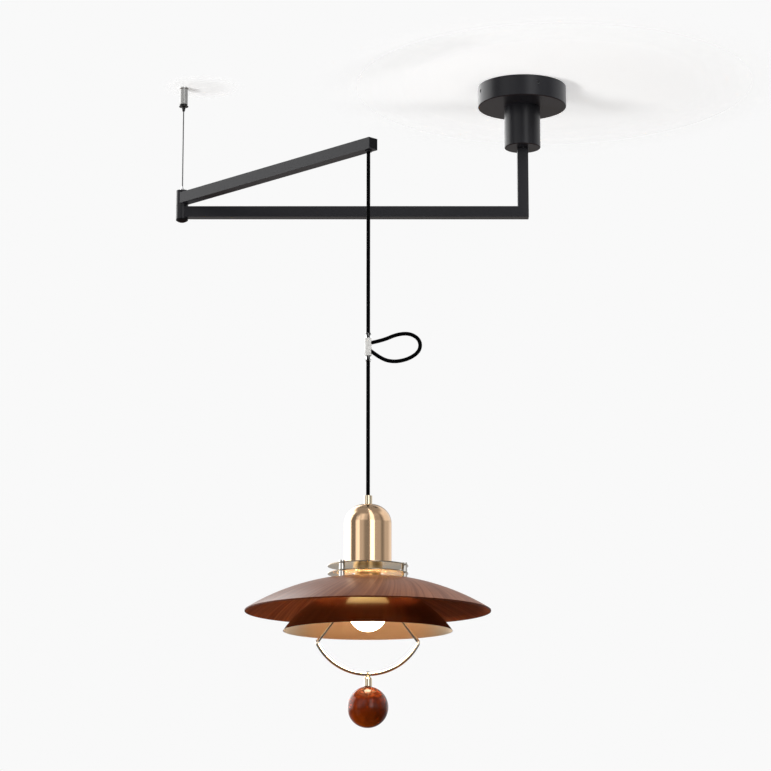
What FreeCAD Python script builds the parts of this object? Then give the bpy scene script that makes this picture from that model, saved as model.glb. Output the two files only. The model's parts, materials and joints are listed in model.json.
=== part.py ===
import FreeCAD, Part
import math
import os

# Millimetres. Origin: centre of the canopy on the ceiling plane, +Z up, the lower arm runs along -X.

SIZES = {
    # Canopy and its bracket
    "canopy_diameter": 140.0,
    "canopy_height": 33.0,
    "canopy_wall": 1.5,
    "canopy_edge_radius": 1.5,
    "bracket_diameter": 112.0,
    "bracket_thickness": 2.0,
    "bracket_hole_spacing": 90.0,
    "bracket_hole_diameter": 5.0,
    "bracket_centre_hole_diameter": 14.0,
    "tab_width": 14.0,
    "tab_length": 20.0,
    "tab_gap": 0.5,
    "side_screw_drop": 12.0,
    "side_screw_turn": 18.0,
    "side_screw_diameter": 5.0,
    "side_screw_sink": 1.0,
    "side_screw_hole_play": 0.25,
    "terminal_length": 28.0,
    "terminal_width": 16.0,
    "terminal_height": 13.0,
    "terminal_offset": 30.0,
    # Swivel under the canopy
    "housing_diameter": 57.0,
    "housing_height": 67.0,
    "housing_wall": 3.0,
    "housing_floor": 8.0,
    "housing_edge_radius": 1.5,
    "spigot_diameter": 20.0,
    "spigot_bore": 10.0,
    "spigot_length": 12.0,
    "locknut_diameter": 30.0,
    "locknut_height": 5.0,
    "spindle_diameter": 13.0,
    "spindle_bore": 7.0,
    "spindle_length": 30.0,
    "spindle_plug_length": 24.0,
    "bush_wall": 2.5,
    "running_play": 0.05,
    "end_play": 0.1,
    "spindle_washer_diameter": 22.0,
    "spindle_washer_thickness": 1.5,
    "spindle_nut_diameter": 20.0,
    "spindle_nut_height": 6.0,
    "tube_top_gap": 0.6,
    # Arms
    "tube_width": 17.2,
    "tube_wall": 1.2,
    "lower_arm_drop": 205.6,
    "lower_arm_length": 538.0,
    "arm_pitch": 22.4,
    "upper_arm_reach": 422.0,
    "fold_angle": 45.5,
    "arm_overhang": 10.0,
    "end_cap_recess": 0.6,
    "end_cap_thickness": 4.0,
    "end_cap_face": 1.6,
    # Elbow
    "knuckle_diameter": 19.0,
    "elbow_washer_thickness": 0.9,
    "elbow_pin_diameter": 10.0,
    "elbow_pin_head_height": 2.4,
    "elbow_pin_thread": 3.0,
    "elbow_cap_height": 5.5,
    "elbow_cap_crown": 16.0,
    # Suspension wire and its ceiling gripper
    "wire_diameter": 2.0,
    "wire_ferrule_base": 9.0,
    "wire_ferrule_tip": 3.0,
    "wire_ferrule_height": 7.5,
    "wire_end_drop": 11.0,
    "anchor_flange_diameter": 15.8,
    "anchor_flange_height": 2.0,
    "anchor_screw_hole": 4.0,
    "anchor_stud_length": 7.0,
    "anchor_diameter": 12.8,
    "anchor_bore": 7.0,
    "anchor_length": 26.1,
    "collet_drop": 12.0,
    "collet_length": 6.0,
    "nozzle_stem_play": 0.1,
    "nozzle_stem_reach": 4.0,
    "nozzle_gap": 2.4,
    "nozzle_disc_diameter": 14.9,
    "nozzle_disc_height": 1.4,
    "nozzle_cone_top": 6.8,
    "nozzle_cone_tip": 4.0,
    "nozzle_cone_height": 7.2,
    "nozzle_wire_play": 0.3,
    # Cord
    "cord_diameter": 5.6,
    "cord_hole_play": 0.6,
    "bush_flange_diameter": 10.4,
    "bush_flange_height": 2.2,
    "bush_barrel_diameter": 9.0,
    "bush_barrel_rise": 3.0,
    "cord_upper_length": 271.8,
    "adjuster_length": 43.0,
    "adjuster_diameter": 10.0,
    "adjuster_end_diameter": 7.2,
    "adjuster_taper": 5.0,
    "cord_lower_length": 196.3,
    # Cap and lamp holder
    "nipple_diameter": 12.4,
    "nipple_height": 13.3,
    "nipple_socket_depth": 6.0,
    "nipple_web": 1.0,
    "nipple_tube_diameter": 8.0,
    "nipple_tube_bore": 5.0,
    "nipple_tube_length": 33.9,
    "cap_diameter": 68.0,
    "cap_height": 87.2,
    "cap_wall": 1.4,
    "cap_top_diameter": 24.0,
    "cap_dome_height": 27.6,
    "cap_dome_radius": 28.5,
    "cap_locknut_diameter": 16.0,
    "cap_locknut_height": 4.0,
    "holder_drop": 19.6,
    "holder_neck_diameter": 18.0,
    "holder_shoulder": 12.0,
    "holder_diameter": 38.0,
    "holder_skirt_diameter": 35.0,
    "holder_skirt_bore": 32.6,
    "holder_skirt_length": 7.5,
    # Discs and their posts
    "disc_diameter": 115.0,
    "disc_thickness": 1.5,
    "disc_pitch": 11.0,
    "lower_disc_hole": 46.0,
    "disc_ring_diameter": 42.0,
    "disc_ring_height": 4.0,
    "post_pitch_radius": 53.2,
    "post_turn": 13.0,
    "post_diameter": 8.4,
    "post_bolt_diameter": 4.0,
    "post_head_diameter": 8.4,
    "post_head_height": 2.4,
    "post_nut_diameter": 8.0,
    "post_nut_height": 2.5,
    # Shade
    "shade_diameter": 350.0,
    "shade_plateau_diameter": 140.0,
    "shade_hole_diameter": 80.0,
    "shade_height": 44.2,
    "shade_curve_radius": 330.0,
    "shade_thickness": 3.0,
    "shade_rim_depth": 2.0,
    # Reflector and the gallery that carries it
    "gallery_drop": 2.9,
    "gallery_thickness": 1.5,
    "gallery_inner_diameter": 48.0,
    "gallery_outer_diameter": 98.0,
    "gallery_arm_width": 8.0,
    "gallery_ring_diameter": 46.0,
    "gallery_ring_height": 5.0,
    "rivet_pitch_radius": 45.5,
    "rivet_diameter": 2.5,
    "rivet_head_diameter": 4.5,
    "rivet_head_height": 0.9,
    "reflector_drop": 16.4,
    "reflector_top_diameter": 100.0,
    "reflector_opening": 83.0,
    "reflector_curve_radius": 155.0,
    "reflector_diameter": 241.0,
    "reflector_height": 55.2,
    "reflector_thickness": 1.2,
    # Bulb
    "bulb_diameter": 55.0,
    "bulb_length": 98.0,
    "bulb_below_rim": 0.7,
    "bulb_base_diameter": 26.4,
    "bulb_base_length": 27.0,
    "bulb_neck_diameter": 30.0,
    "bulb_neck_length": 9.0,
    "bulb_neck_sweep": 60.0,
    "bulb_wall": 1.0,
    # Bow handle and ball
    "bow_rod_diameter": 5.0,
    "bow_leg_offset": 45.5,
    "bow_leg_top": 5.0,
    "bow_knee_drop": 35.5,
    "bow_knee_radius": 12.0,
    "bow_corner_offset": 72.4,
    "bow_corner_drop": 71.6,
    "bow_corner_radius": 5.0,
    "bow_drop": 116.5,
    "bow_nut_diameter": 8.0,
    "bow_nut_height": 3.0,
    "ferrule_diameter": 12.2,
    "ferrule_neck_diameter": 7.6,
    "ferrule_height": 14.6,
    "ball_stud_diameter": 3.0,
    "ball_stud_head_diameter": 5.0,
    "ball_stud_head_height": 1.6,
    "ball_stud_depth": 16.0,
    "ball_diameter": 58.4,
}

# Slack loop of the cord beside the adjuster: across from the cord axis, above the adjuster's middle.
LOOP_ROUTE = [
    (2.6, 6.1),
    (20.5, 9.6),
    (42.5, 19.4),
    (62.0, 20.2),
    (75.6, 9.9),
    (74.9, -5.9),
    (59.5, -17.4),
    (38.0, -22.3),
    (18.6, -17.6),
    (2.6, -4.6),
]

doc = FreeCAD.newDocument("swing_arm_pendant")
nodes = []


class Size:
    """A number that keeps the sheet expression it came from."""

    def __init__(self, value, text):
        self.value = float(value)
        self.text = text

    def __add__(self, other):
        other = as_size(other)
        return Size(self.value + other.value, f"({self.text} + {other.text})")

    def __sub__(self, other):
        other = as_size(other)
        return Size(self.value - other.value, f"({self.text} - {other.text})")

    def __mul__(self, other):
        other = as_size(other)
        return Size(self.value * other.value, f"({self.text} * {other.text})")

    def __truediv__(self, other):
        other = as_size(other)
        return Size(self.value / other.value, f"({self.text} / {other.text})")

    def __neg__(self):
        return Size(-self.value, f"(0 - {self.text})")


def as_size(number):
    """Wrap a plain number so that it can join an expression."""
    if isinstance(number, Size):
        return number
    return Size(number, f"({float(number):.6f})")


def cosine(angle):
    """Cosine of an angle in degrees, as a Size."""
    return Size(math.cos(math.radians(angle.value)), f"cos({angle.text})")


def sine(angle):
    """Sine of an angle in degrees, as a Size."""
    return Size(math.sin(math.radians(angle.value)), f"sin({angle.text})")


class Sizes:
    """The driving sheet, read as attributes."""

    def __init__(self, table):
        self.sheet = doc.addObject("Spreadsheet::Sheet", "dims")
        for row, (name, value) in enumerate(table.items(), start=1):
            self.sheet.set(f"A{row}", name)
            self.sheet.set(f"B{row}", str(value))
            self.sheet.setAlias(f"B{row}", name)
            setattr(self, name, Size(value, f"dims.{name}"))


d = Sizes(SIZES)
doc.recompute()
ZERO = as_size(0.0)


def publish(item, label):
    """Name a finished piece and keep it for export."""
    item.Label = label
    nodes.append(item)
    return item


def bind(item, **sizes):
    """Drive the item's properties from the sheet."""
    for name, size in sizes.items():
        item.setExpression(name, as_size(size).text)


def place(item, x=ZERO, y=ZERO, z=ZERO, turn=None):
    """Drive the item's position, and its turn about Z, from the sheet."""
    if turn is not None:
        axis = FreeCAD.Vector(0, 0, 1)
        item.Placement = FreeCAD.Placement(FreeCAD.Vector(), FreeCAD.Rotation(axis, turn.value))
        item.setExpression("Placement.Rotation.Angle", turn.text)
    item.setExpression("Placement.Base.x", as_size(x).text)
    item.setExpression("Placement.Base.y", as_size(y).text)
    item.setExpression("Placement.Base.z", as_size(z).text)
    return item


def box(name, length, width, height, corner, turn=None):
    """A block with its lowest corner given, turned about the Z axis."""
    item = doc.addObject("Part::Box", name)
    bind(item, Length=length, Width=width, Height=height)
    x, y, z = (as_size(part) for part in corner)
    if turn is not None:
        x, y = x * cosine(turn) - y * sine(turn), x * sine(turn) + y * cosine(turn)
    return place(item, x, y, z, turn)


def cylinder(name, diameter, height, foot):
    """An upright cylinder standing on its foot point."""
    item = doc.addObject("Part::Cylinder", name)
    bind(item, Radius=as_size(diameter) / 2, Height=height)
    return place(item, *foot)


def radial_cylinder(name, diameter, inner, outer, z, yaw):
    """A cylinder lying along a radius, from one distance off the axis to another."""
    item = doc.addObject("Part::Cylinder", name)
    bind(item, Radius=as_size(diameter) / 2, Height=as_size(outer) - inner)
    item.Placement = FreeCAD.Placement(FreeCAD.Vector(), FreeCAD.Rotation(yaw, 90, 0))
    turn = as_size(yaw)
    item.setExpression("Placement.Base.x", (as_size(inner) * cosine(turn)).text)
    item.setExpression("Placement.Base.y", (as_size(inner) * sine(turn)).text)
    item.setExpression("Placement.Base.z", as_size(z).text)
    return item


def sphere(name, diameter, centre):
    """A ball about its centre."""
    item = doc.addObject("Part::Sphere", name)
    bind(item, Radius=as_size(diameter) / 2)
    return place(item, *centre)


def fuse(name, items):
    """Join several items, or gather several loose ones, in one."""
    item = doc.addObject("Part::MultiFuse", name)
    item.Shapes = items
    return item


def cut(name, base, tool):
    """Take the tool away from the base."""
    item = doc.addObject("Part::Cut", name)
    item.Base = base
    item.Tool = tool
    return item


def arc_between(start, end, radius, side):
    """The short arc from start to end; side 1 puts its centre on the left, -1 on the right."""
    run = end - start
    chord = run.Length
    left = FreeCAD.Vector(-run.y, run.x, 0) / chord
    height = math.sqrt(max(radius * radius - chord * chord / 4, 0.0))
    centre = (start + end) / 2 + left * (side * height)
    first, last = (start, end) if side > 0 else (end, start)
    begin = math.atan2(first.y - centre.y, first.x - centre.x)
    finish = math.atan2(last.y - centre.y, last.x - centre.x)
    circle = Part.Circle(centre, FreeCAD.Vector(0, 0, 1), radius)
    return Part.ArcOfCircle(circle, begin, finish)


def draw_outline(sketch, outline):
    """Draw a closed outline of (r, z) corners; (r, z, radius, side) arrives at its corner by an arc."""
    corners = [FreeCAD.Vector(as_size(p[0]).value, as_size(p[1]).value, 0) for p in outline]
    count = len(outline)
    ends = []
    for index in range(count):
        start, end, step = corners[index], corners[(index + 1) % count], outline[(index + 1) % count]
        if len(step) == 2:
            ends.append((sketch.addGeometry(Part.LineSegment(start, end), False), 1, 2))
            continue
        radius, side = as_size(step[2]), step[3]
        edge = sketch.addGeometry(arc_between(start, end, radius.value, side), False)
        ends.append((edge, 1, 2) if side > 0 else (edge, 2, 1))
        rule = sketch.addConstraint(_rule("Radius", edge, radius.value))
        sketch.setExpression(f"Constraints[{rule}]", radius.text)
    for index in range(count):
        edge, first, _ = ends[index]
        before, _, last = ends[index - 1]
        sketch.addConstraint(_rule("Coincident", before, last, edge, first))
        for kind, size in (("DistanceX", outline[index][0]), ("DistanceY", outline[index][1])):
            size = as_size(size)
            rule = sketch.addConstraint(_rule(kind, -1, 1, edge, first, size.value))
            sketch.setExpression(f"Constraints[{rule}]", size.text)


def _rule(*words):
    import Sketcher
    return Sketcher.Constraint(*words)


def turned(name, outline):
    """A turned piece: the outline revolved about the Z axis."""
    body = doc.addObject("PartDesign::Body", name + "_body")
    plane = [item for item in body.Origin.OriginFeatures if item.Role == "XZ_Plane"][0]
    sketch = body.newObject("Sketcher::SketchObject", name + "_outline")
    sketch.AttachmentSupport = [(plane, "")]
    sketch.MapMode = "FlatFace"
    draw_outline(sketch, outline)
    turn = body.newObject("PartDesign::Revolution", name + "_turn")
    turn.Profile = sketch
    turn.ReferenceAxis = (sketch, ["V_Axis"])
    turn.Angle = 360
    body.Tip = turn
    return body


def ring(name, inner, outer, top, height):
    """A plain ring given by its diameters, its top and its height."""
    inner, outer, bottom = as_size(inner) / 2, as_size(outer) / 2, as_size(top) - height
    return turned(name, [(inner, top), (outer, top), (outer, bottom), (inner, bottom)])


def square_tube(name, length, corner):
    """A square tube along X from its lowest corner."""
    outer = box(name + "_outer", length, d.tube_width, d.tube_width, corner)
    hollow = d.tube_width - d.tube_wall * 2
    inner_corner = (corner[0] - 1, as_size(corner[1]) + d.tube_wall, as_size(corner[2]) + d.tube_wall)
    inner = box(name + "_hollow", as_size(length) + 2, hollow, hollow, inner_corner)
    return cut(name + "_tube", outer, inner)


def rod_along(points, radii, diameter):
    """A round rod through the points with tangent arcs at the corners; returns shape and length."""
    edges = []
    start = points[0]
    for index in range(1, len(points) - 1):
        here = points[index]
        back = (points[index - 1] - here).normalize()
        ahead = (points[index + 1] - here).normalize()
        half = math.acos(max(-1.0, min(1.0, back.dot(ahead)))) / 2
        trim = radii[index - 1] / math.tan(half)
        middle = here + (back + ahead).normalize() * (radii[index - 1] / math.sin(half) - radii[index - 1])
        enter, leave = here + back * trim, here + ahead * trim
        edges.append(Part.LineSegment(start, enter).toShape())
        edges.append(Part.Arc(enter, middle, leave).toShape())
        start = leave
    edges.append(Part.LineSegment(start, points[-1]).toShape())
    path = Part.Wire(edges)
    section = Part.Wire(Part.Circle(points[0], points[1] - points[0], diameter / 2).toShape())
    return path.makePipeShell([section], True, False), path.Length


# Levels and places shared by several pieces
half_tube = d.tube_width / 2
z_canopy_floor = -d.canopy_height
z_housing_floor = z_canopy_floor - d.housing_height
z_lower = -d.lower_arm_drop
z_upper = z_lower + d.arm_pitch
z_tube_top = z_housing_floor - d.tube_top_gap
elbow_x = -d.lower_arm_length
knuckle_height = d.arm_pitch - d.elbow_washer_thickness - d.end_play
z_lower_knuckle_foot = z_lower - knuckle_height / 2
z_upper_knuckle_foot = z_upper - knuckle_height / 2
z_pin_head = z_upper_knuckle_foot + knuckle_height + d.end_play
z_pin_top = z_pin_head + d.elbow_pin_head_height
z_cord_pivot = z_upper - half_tube - d.bush_flange_height
z_adjuster_top = z_cord_pivot - d.cord_upper_length
z_adjuster_foot = z_adjuster_top - d.adjuster_length
z_nipple_top = z_adjuster_foot - d.cord_lower_length
z_cap_top = z_nipple_top - d.nipple_height
z_upper_disc = z_cap_top - d.cap_height
z_lower_disc = z_upper_disc - d.disc_pitch
z_plateau = z_lower_disc - d.disc_pitch
z_shade_rim = z_plateau - d.shade_height
z_gallery = z_plateau - d.gallery_drop
z_reflector = z_plateau - d.reflector_drop
z_reflector_rim = z_reflector - d.reflector_height
z_bulb_foot = z_reflector_rim - d.bulb_below_rim
z_bow = z_reflector - d.bow_drop
z_ball_top = z_bow - d.bow_rod_diameter / 2 - d.ferrule_height
cord_hole = d.cord_diameter + d.cord_hole_play * 2
lamp_x = elbow_x + d.upper_arm_reach * cosine(d.fold_angle)
lamp_y = -(d.upper_arm_reach * sine(d.fold_angle))


def hang(item):
    """Move a piece modelled on the Z axis under the cord."""
    return place(item, lamp_x, lamp_y, ZERO)


def at_elbow(item, turn=None):
    """Move a piece modelled on the Z axis to the elbow."""
    return place(item, elbow_x, ZERO, ZERO, turn)


def make_canopy():
    """Bracket, canopy and side screws."""
    inner = d.canopy_diameter / 2 - d.canopy_wall
    tab_face = inner - d.tab_gap
    plate_foot = -d.bracket_thickness
    pieces = [cylinder("bracket_plate", d.bracket_diameter, d.bracket_thickness, (ZERO, ZERO, plate_foot))]
    for turn in range(4):
        pieces.append(_bracket_arm(turn, tab_face, plate_foot))
    bracket = fuse("bracket_blank", pieces)
    holes = [cylinder("bracket_middle", d.bracket_centre_hole_diameter, 10, (ZERO, ZERO, as_size(-5)))]
    for side in (1, -1):
        x = d.bracket_hole_spacing / 2 * cosine(d.side_screw_turn) * side
        y = d.bracket_hole_spacing / 2 * sine(d.side_screw_turn) * -side
        holes.append(cylinder("bracket_hole", d.bracket_hole_diameter, 10, (x, y, as_size(-5))))
    z = -d.side_screw_drop
    for turn in range(4):
        yaw = turn * 90
        holes.append(radial_cylinder("tab_hole", d.side_screw_diameter, tab_face - 8, tab_face + 8, z, yaw))
    bracket = cut("bracket_drilled", bracket, fuse("bracket_holes", holes))
    publish(place(bracket, turn=d.side_screw_turn), "ceiling_bracket")

    rim, floor = d.canopy_diameter / 2, z_canopy_floor
    cup = turned("cup", [
        (d.spigot_diameter / 2, floor),
        (rim - d.canopy_edge_radius, floor),
        (rim, floor + d.canopy_edge_radius, d.canopy_edge_radius, 1),
        (rim, ZERO),
        (inner, ZERO),
        (inner, floor + d.canopy_wall),
        (d.spigot_diameter / 2, floor + d.canopy_wall),
    ])
    hole = d.side_screw_diameter + d.side_screw_hole_play * 2
    tools = [radial_cylinder("cup_hole", hole, rim - 6, rim + 6, z, turn * 90) for turn in range(4)]
    cup = cut("cup_drilled", cup, fuse("cup_holes", tools))
    publish(place(cup, turn=d.side_screw_turn), "canopy_cup")

    start, end = tab_face - d.bracket_thickness, rim - d.side_screw_sink
    screws = [radial_cylinder("grub", d.side_screw_diameter, start, end, z, turn * 90) for turn in range(4)]
    publish(place(fuse("screws", screws), turn=d.side_screw_turn), "canopy_side_screws")

    corner = (d.terminal_offset - d.terminal_length / 2, d.tab_width, plate_foot - d.terminal_height)
    terminal = box("terminal", d.terminal_length, d.terminal_width, d.terminal_height, corner)
    publish(terminal, "terminal_block")


def _bracket_arm(turn, tab_face, plate_foot):
    """One quarter of the bracket cross: a flat arm and its turned-down tab."""
    arm = box("arm", tab_face, d.tab_width, d.bracket_thickness, (ZERO, -(d.tab_width / 2), plate_foot))
    tab_corner = (tab_face - d.bracket_thickness, -(d.tab_width / 2), -d.tab_length)
    tab = box("tab", d.bracket_thickness, d.tab_width, d.tab_length, tab_corner)
    quarter = fuse("arm_and_tab", [arm, tab])
    quarter.Placement = FreeCAD.Placement(FreeCAD.Vector(), FreeCAD.Rotation(turn * 90, 0, 0))
    return quarter


def make_swivel():
    """Housing under the canopy and the spindle that turns in it."""
    rim = d.housing_diameter / 2
    cavity = rim - d.housing_wall
    top, floor = z_canopy_floor, z_housing_floor
    bush_outer = d.spindle_diameter / 2 + d.running_play + d.bush_wall
    z_inside = floor + d.housing_floor
    housing = turned("housing", [
        (d.spigot_bore / 2, top + d.spigot_length),
        (d.spigot_diameter / 2, top + d.spigot_length),
        (d.spigot_diameter / 2, top),
        (rim, top),
        (rim, floor + d.housing_edge_radius),
        (rim - d.housing_edge_radius, floor, d.housing_edge_radius, -1),
        (bush_outer, floor),
        (bush_outer, z_inside),
        (cavity, z_inside),
        (cavity, top - d.housing_wall),
        (d.spigot_bore / 2, top - d.housing_wall),
    ])
    publish(housing, "swivel_housing")
    z_nut = top + d.canopy_wall + d.locknut_height
    publish(ring("locknut", d.spigot_diameter, d.locknut_diameter, z_nut, d.locknut_height), "housing_locknut")
    bush_bore = d.spindle_diameter + d.running_play * 2
    publish(ring("bush", bush_bore, bush_outer * 2, z_inside, d.housing_floor), "swivel_bush")

    bore, shaft = d.spindle_bore / 2, d.spindle_diameter / 2
    z_top, z_foot = z_tube_top + d.spindle_length, z_tube_top - d.spindle_plug_length
    shaft_piece = turned("shaft", [(bore, z_top), (shaft, z_top), (shaft, z_tube_top), (bore, z_tube_top)])
    plug_width = d.tube_width - d.tube_wall * 2
    plug = box("plug", plug_width, plug_width, d.spindle_plug_length, (-(plug_width / 2), -(plug_width / 2), z_foot))
    plug_bore = cylinder("plug_bore", d.spindle_bore, d.spindle_plug_length + 4, (ZERO, ZERO, z_foot - 2))
    spindle = fuse("spindle", [shaft_piece, cut("plug_bored", plug, plug_bore)])
    publish(spindle, "swivel_spindle")
    z_washer = z_inside + d.end_play + d.spindle_washer_thickness
    washer = ring("washer", d.spindle_diameter, d.spindle_washer_diameter, z_washer, d.spindle_washer_thickness)
    publish(washer, "spindle_washer")
    nut_top = z_washer + d.spindle_nut_height
    publish(ring("nut", d.spindle_diameter, d.spindle_nut_diameter, nut_top, d.spindle_nut_height), "spindle_nut")


def mitre_tool(name, below):
    """A block with one face on the mitre plane of the tube corner, filling the side below or above it."""
    size = 60.0
    item = doc.addObject("Part::Box", name)
    item.Length = size
    item.Width = size
    item.Height = size
    turn = FreeCAD.Rotation(FreeCAD.Vector(0, 1, 0), 45)
    corner = turn.multVec(FreeCAD.Vector(size / 2, size / 2, size if below else 0))
    item.Placement = FreeCAD.Placement(FreeCAD.Vector(), turn)
    item.setExpression("Placement.Base.x", as_size(-corner.x).text)
    item.setExpression("Placement.Base.y", as_size(-corner.y).text)
    item.setExpression("Placement.Base.z", (z_lower - corner.z).text)
    return item


def make_lower_arm():
    """Drop tube and lower arm tube with their mitred corner."""
    hollow = d.tube_width - d.tube_wall * 2
    z_foot = z_lower - d.tube_width
    height = z_tube_top - z_foot
    outer = box("drop_outer", d.tube_width, d.tube_width, height, (-half_tube, -half_tube, z_foot))
    inner = box("drop_hollow", hollow, hollow, height + 2, (-(hollow / 2), -(hollow / 2), z_foot - 1))
    drop = cut("drop_mitred", cut("drop_square", outer, inner), mitre_tool("drop_mitre", True))
    publish(drop, "drop_tube")

    length = d.lower_arm_length + half_tube
    tube = square_tube("lower", length, (elbow_x, -half_tube, z_lower - half_tube))
    post = cylinder("lower_cope", d.knuckle_diameter, d.tube_width * 2, (elbow_x, ZERO, z_lower - d.tube_width))
    tube = cut("lower_coped", tube, post)
    publish(cut("lower_mitred", tube, mitre_tool("lower_mitre", False)), "lower_arm_tube")


def make_elbow():
    """Two knuckles, the pin through them, the washer between them and the cap below."""
    pin, post = d.elbow_pin_diameter / 2, d.knuckle_diameter / 2
    top = z_lower_knuckle_foot + knuckle_height
    lower = ring("lower_knuckle", d.elbow_pin_diameter, d.knuckle_diameter, top, knuckle_height)
    publish(at_elbow(lower), "elbow_knuckle_lower")
    z_washer = top + d.elbow_washer_thickness
    washer = ring("elbow_ring", d.elbow_pin_diameter, d.knuckle_diameter, z_washer, d.elbow_washer_thickness)
    publish(at_elbow(washer), "elbow_washer")
    pin_piece = turned("pin", [
        (ZERO, z_pin_top),
        (post, z_pin_top),
        (post, z_pin_head),
        (pin, z_pin_head),
        (pin, z_lower_knuckle_foot - d.elbow_pin_thread),
        (ZERO, z_lower_knuckle_foot - d.elbow_pin_thread),
    ])
    publish(at_elbow(pin_piece), "elbow_pin")
    foot = z_lower_knuckle_foot
    cap = turned("elbow_cap", [
        (pin, foot),
        (post, foot),
        (post, foot - d.elbow_cap_height / 3),
        (ZERO, foot - d.elbow_cap_height, d.elbow_cap_crown, -1),
        (ZERO, foot - d.elbow_pin_thread),
        (pin, foot - d.elbow_pin_thread),
    ])
    publish(at_elbow(cap), "elbow_bottom_cap")
    bore = d.elbow_pin_diameter + d.running_play * 2
    upper = ring("upper_knuckle", bore, d.knuckle_diameter, z_upper_knuckle_foot + knuckle_height, knuckle_height)
    publish(at_elbow(upper), "elbow_knuckle_upper")


def make_suspension():
    """Wire from the elbow to the ceiling and the gripper that holds it."""
    wire, tip, base = d.wire_diameter / 2, d.wire_ferrule_tip / 2, d.wire_ferrule_base / 2
    ferrule_top = z_pin_top + d.wire_ferrule_height
    ferrule = turned("wire_end", [(wire, ferrule_top), (tip, ferrule_top), (base, z_pin_top), (wire, z_pin_top)])
    publish(at_elbow(ferrule), "wire_ferrule")
    wire_length = -d.wire_end_drop - z_pin_top
    publish(at_elbow(cylinder("wire", d.wire_diameter, wire_length, (ZERO, ZERO, ZERO))), "suspension_wire")
    place(nodes[-1], elbow_x, ZERO, z_pin_top)

    flange, bore, hole = d.anchor_flange_diameter / 2, d.anchor_bore / 2, d.anchor_screw_hole / 2
    z_flange = -d.anchor_flange_height
    base_piece = turned("anchor_top", [
        (hole, ZERO),
        (flange, ZERO),
        (flange, z_flange),
        (bore, z_flange),
        (bore, z_flange - d.anchor_stud_length),
        (hole, z_flange - d.anchor_stud_length),
    ])
    publish(at_elbow(base_piece), "anchor_base")
    barrel = ring("barrel", d.anchor_bore, d.anchor_diameter, z_flange, d.anchor_length)
    publish(at_elbow(barrel), "anchor_body")
    collet = ring("collet", d.wire_diameter, d.anchor_bore, -d.collet_drop, d.collet_length)
    publish(at_elbow(collet), "gripper_collet")

    stem = bore - d.nozzle_stem_play
    passage = wire + d.nozzle_wire_play
    z_barrel_foot = z_flange - d.anchor_length
    z_disc = z_barrel_foot - d.nozzle_gap
    z_cone = z_disc - d.nozzle_disc_height
    nozzle = turned("nozzle", [
        (passage, z_barrel_foot + d.nozzle_stem_reach),
        (stem, z_barrel_foot + d.nozzle_stem_reach),
        (stem, z_disc),
        (d.nozzle_disc_diameter / 2, z_disc),
        (d.nozzle_disc_diameter / 2, z_cone),
        (d.nozzle_cone_top / 2, z_cone),
        (d.nozzle_cone_tip / 2, z_cone - d.nozzle_cone_height),
        (passage, z_cone - d.nozzle_cone_height),
    ])
    publish(at_elbow(nozzle), "gripper_nozzle")


def make_upper_arm():
    """Upper arm tube, its end cap and the bush where the cord leaves."""
    turn = -d.fold_angle
    foot = z_upper - half_tube
    length = d.upper_arm_reach + d.arm_overhang
    tube = square_tube("upper", length, (ZERO, -half_tube, foot))
    cope = cylinder("upper_cope", d.knuckle_diameter, d.tube_width * 2, (ZERO, ZERO, z_upper - d.tube_width))
    hole = cylinder("exit_hole", d.bush_barrel_diameter, 8, (d.upper_arm_reach, ZERO, foot - 4))
    tube = cut("upper_drilled", tube, fuse("upper_tools", [cope, hole]))
    publish(at_elbow(tube, turn), "upper_arm_tube")

    hollow = d.tube_width - d.tube_wall * 2
    start = length - d.end_cap_recess - d.end_cap_thickness
    plug = box("end_plug", d.end_cap_thickness, hollow, hollow, (start, -(hollow / 2), z_upper - hollow / 2))
    inside = hollow - d.tube_wall * 2
    pocket_corner = (start - 1, -(inside / 2), z_upper - inside / 2)
    pocket = box("end_pocket", d.end_cap_thickness - d.end_cap_face + 1, inside, inside, pocket_corner)
    end_cap = cut("end_cup", plug, pocket)
    publish(at_elbow(end_cap, turn), "upper_arm_end_cap")

    bore, barrel = cord_hole / 2, d.bush_barrel_diameter / 2
    top = foot + d.tube_wall + d.bush_barrel_rise
    bush = turned("exit_bush", [
        (bore, top),
        (barrel, top),
        (barrel, foot),
        (d.bush_flange_diameter / 2, foot),
        (d.bush_flange_diameter / 2, z_cord_pivot),
        (bore, z_cord_pivot),
    ])
    publish(hang(bush), "cord_exit_bush")


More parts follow.
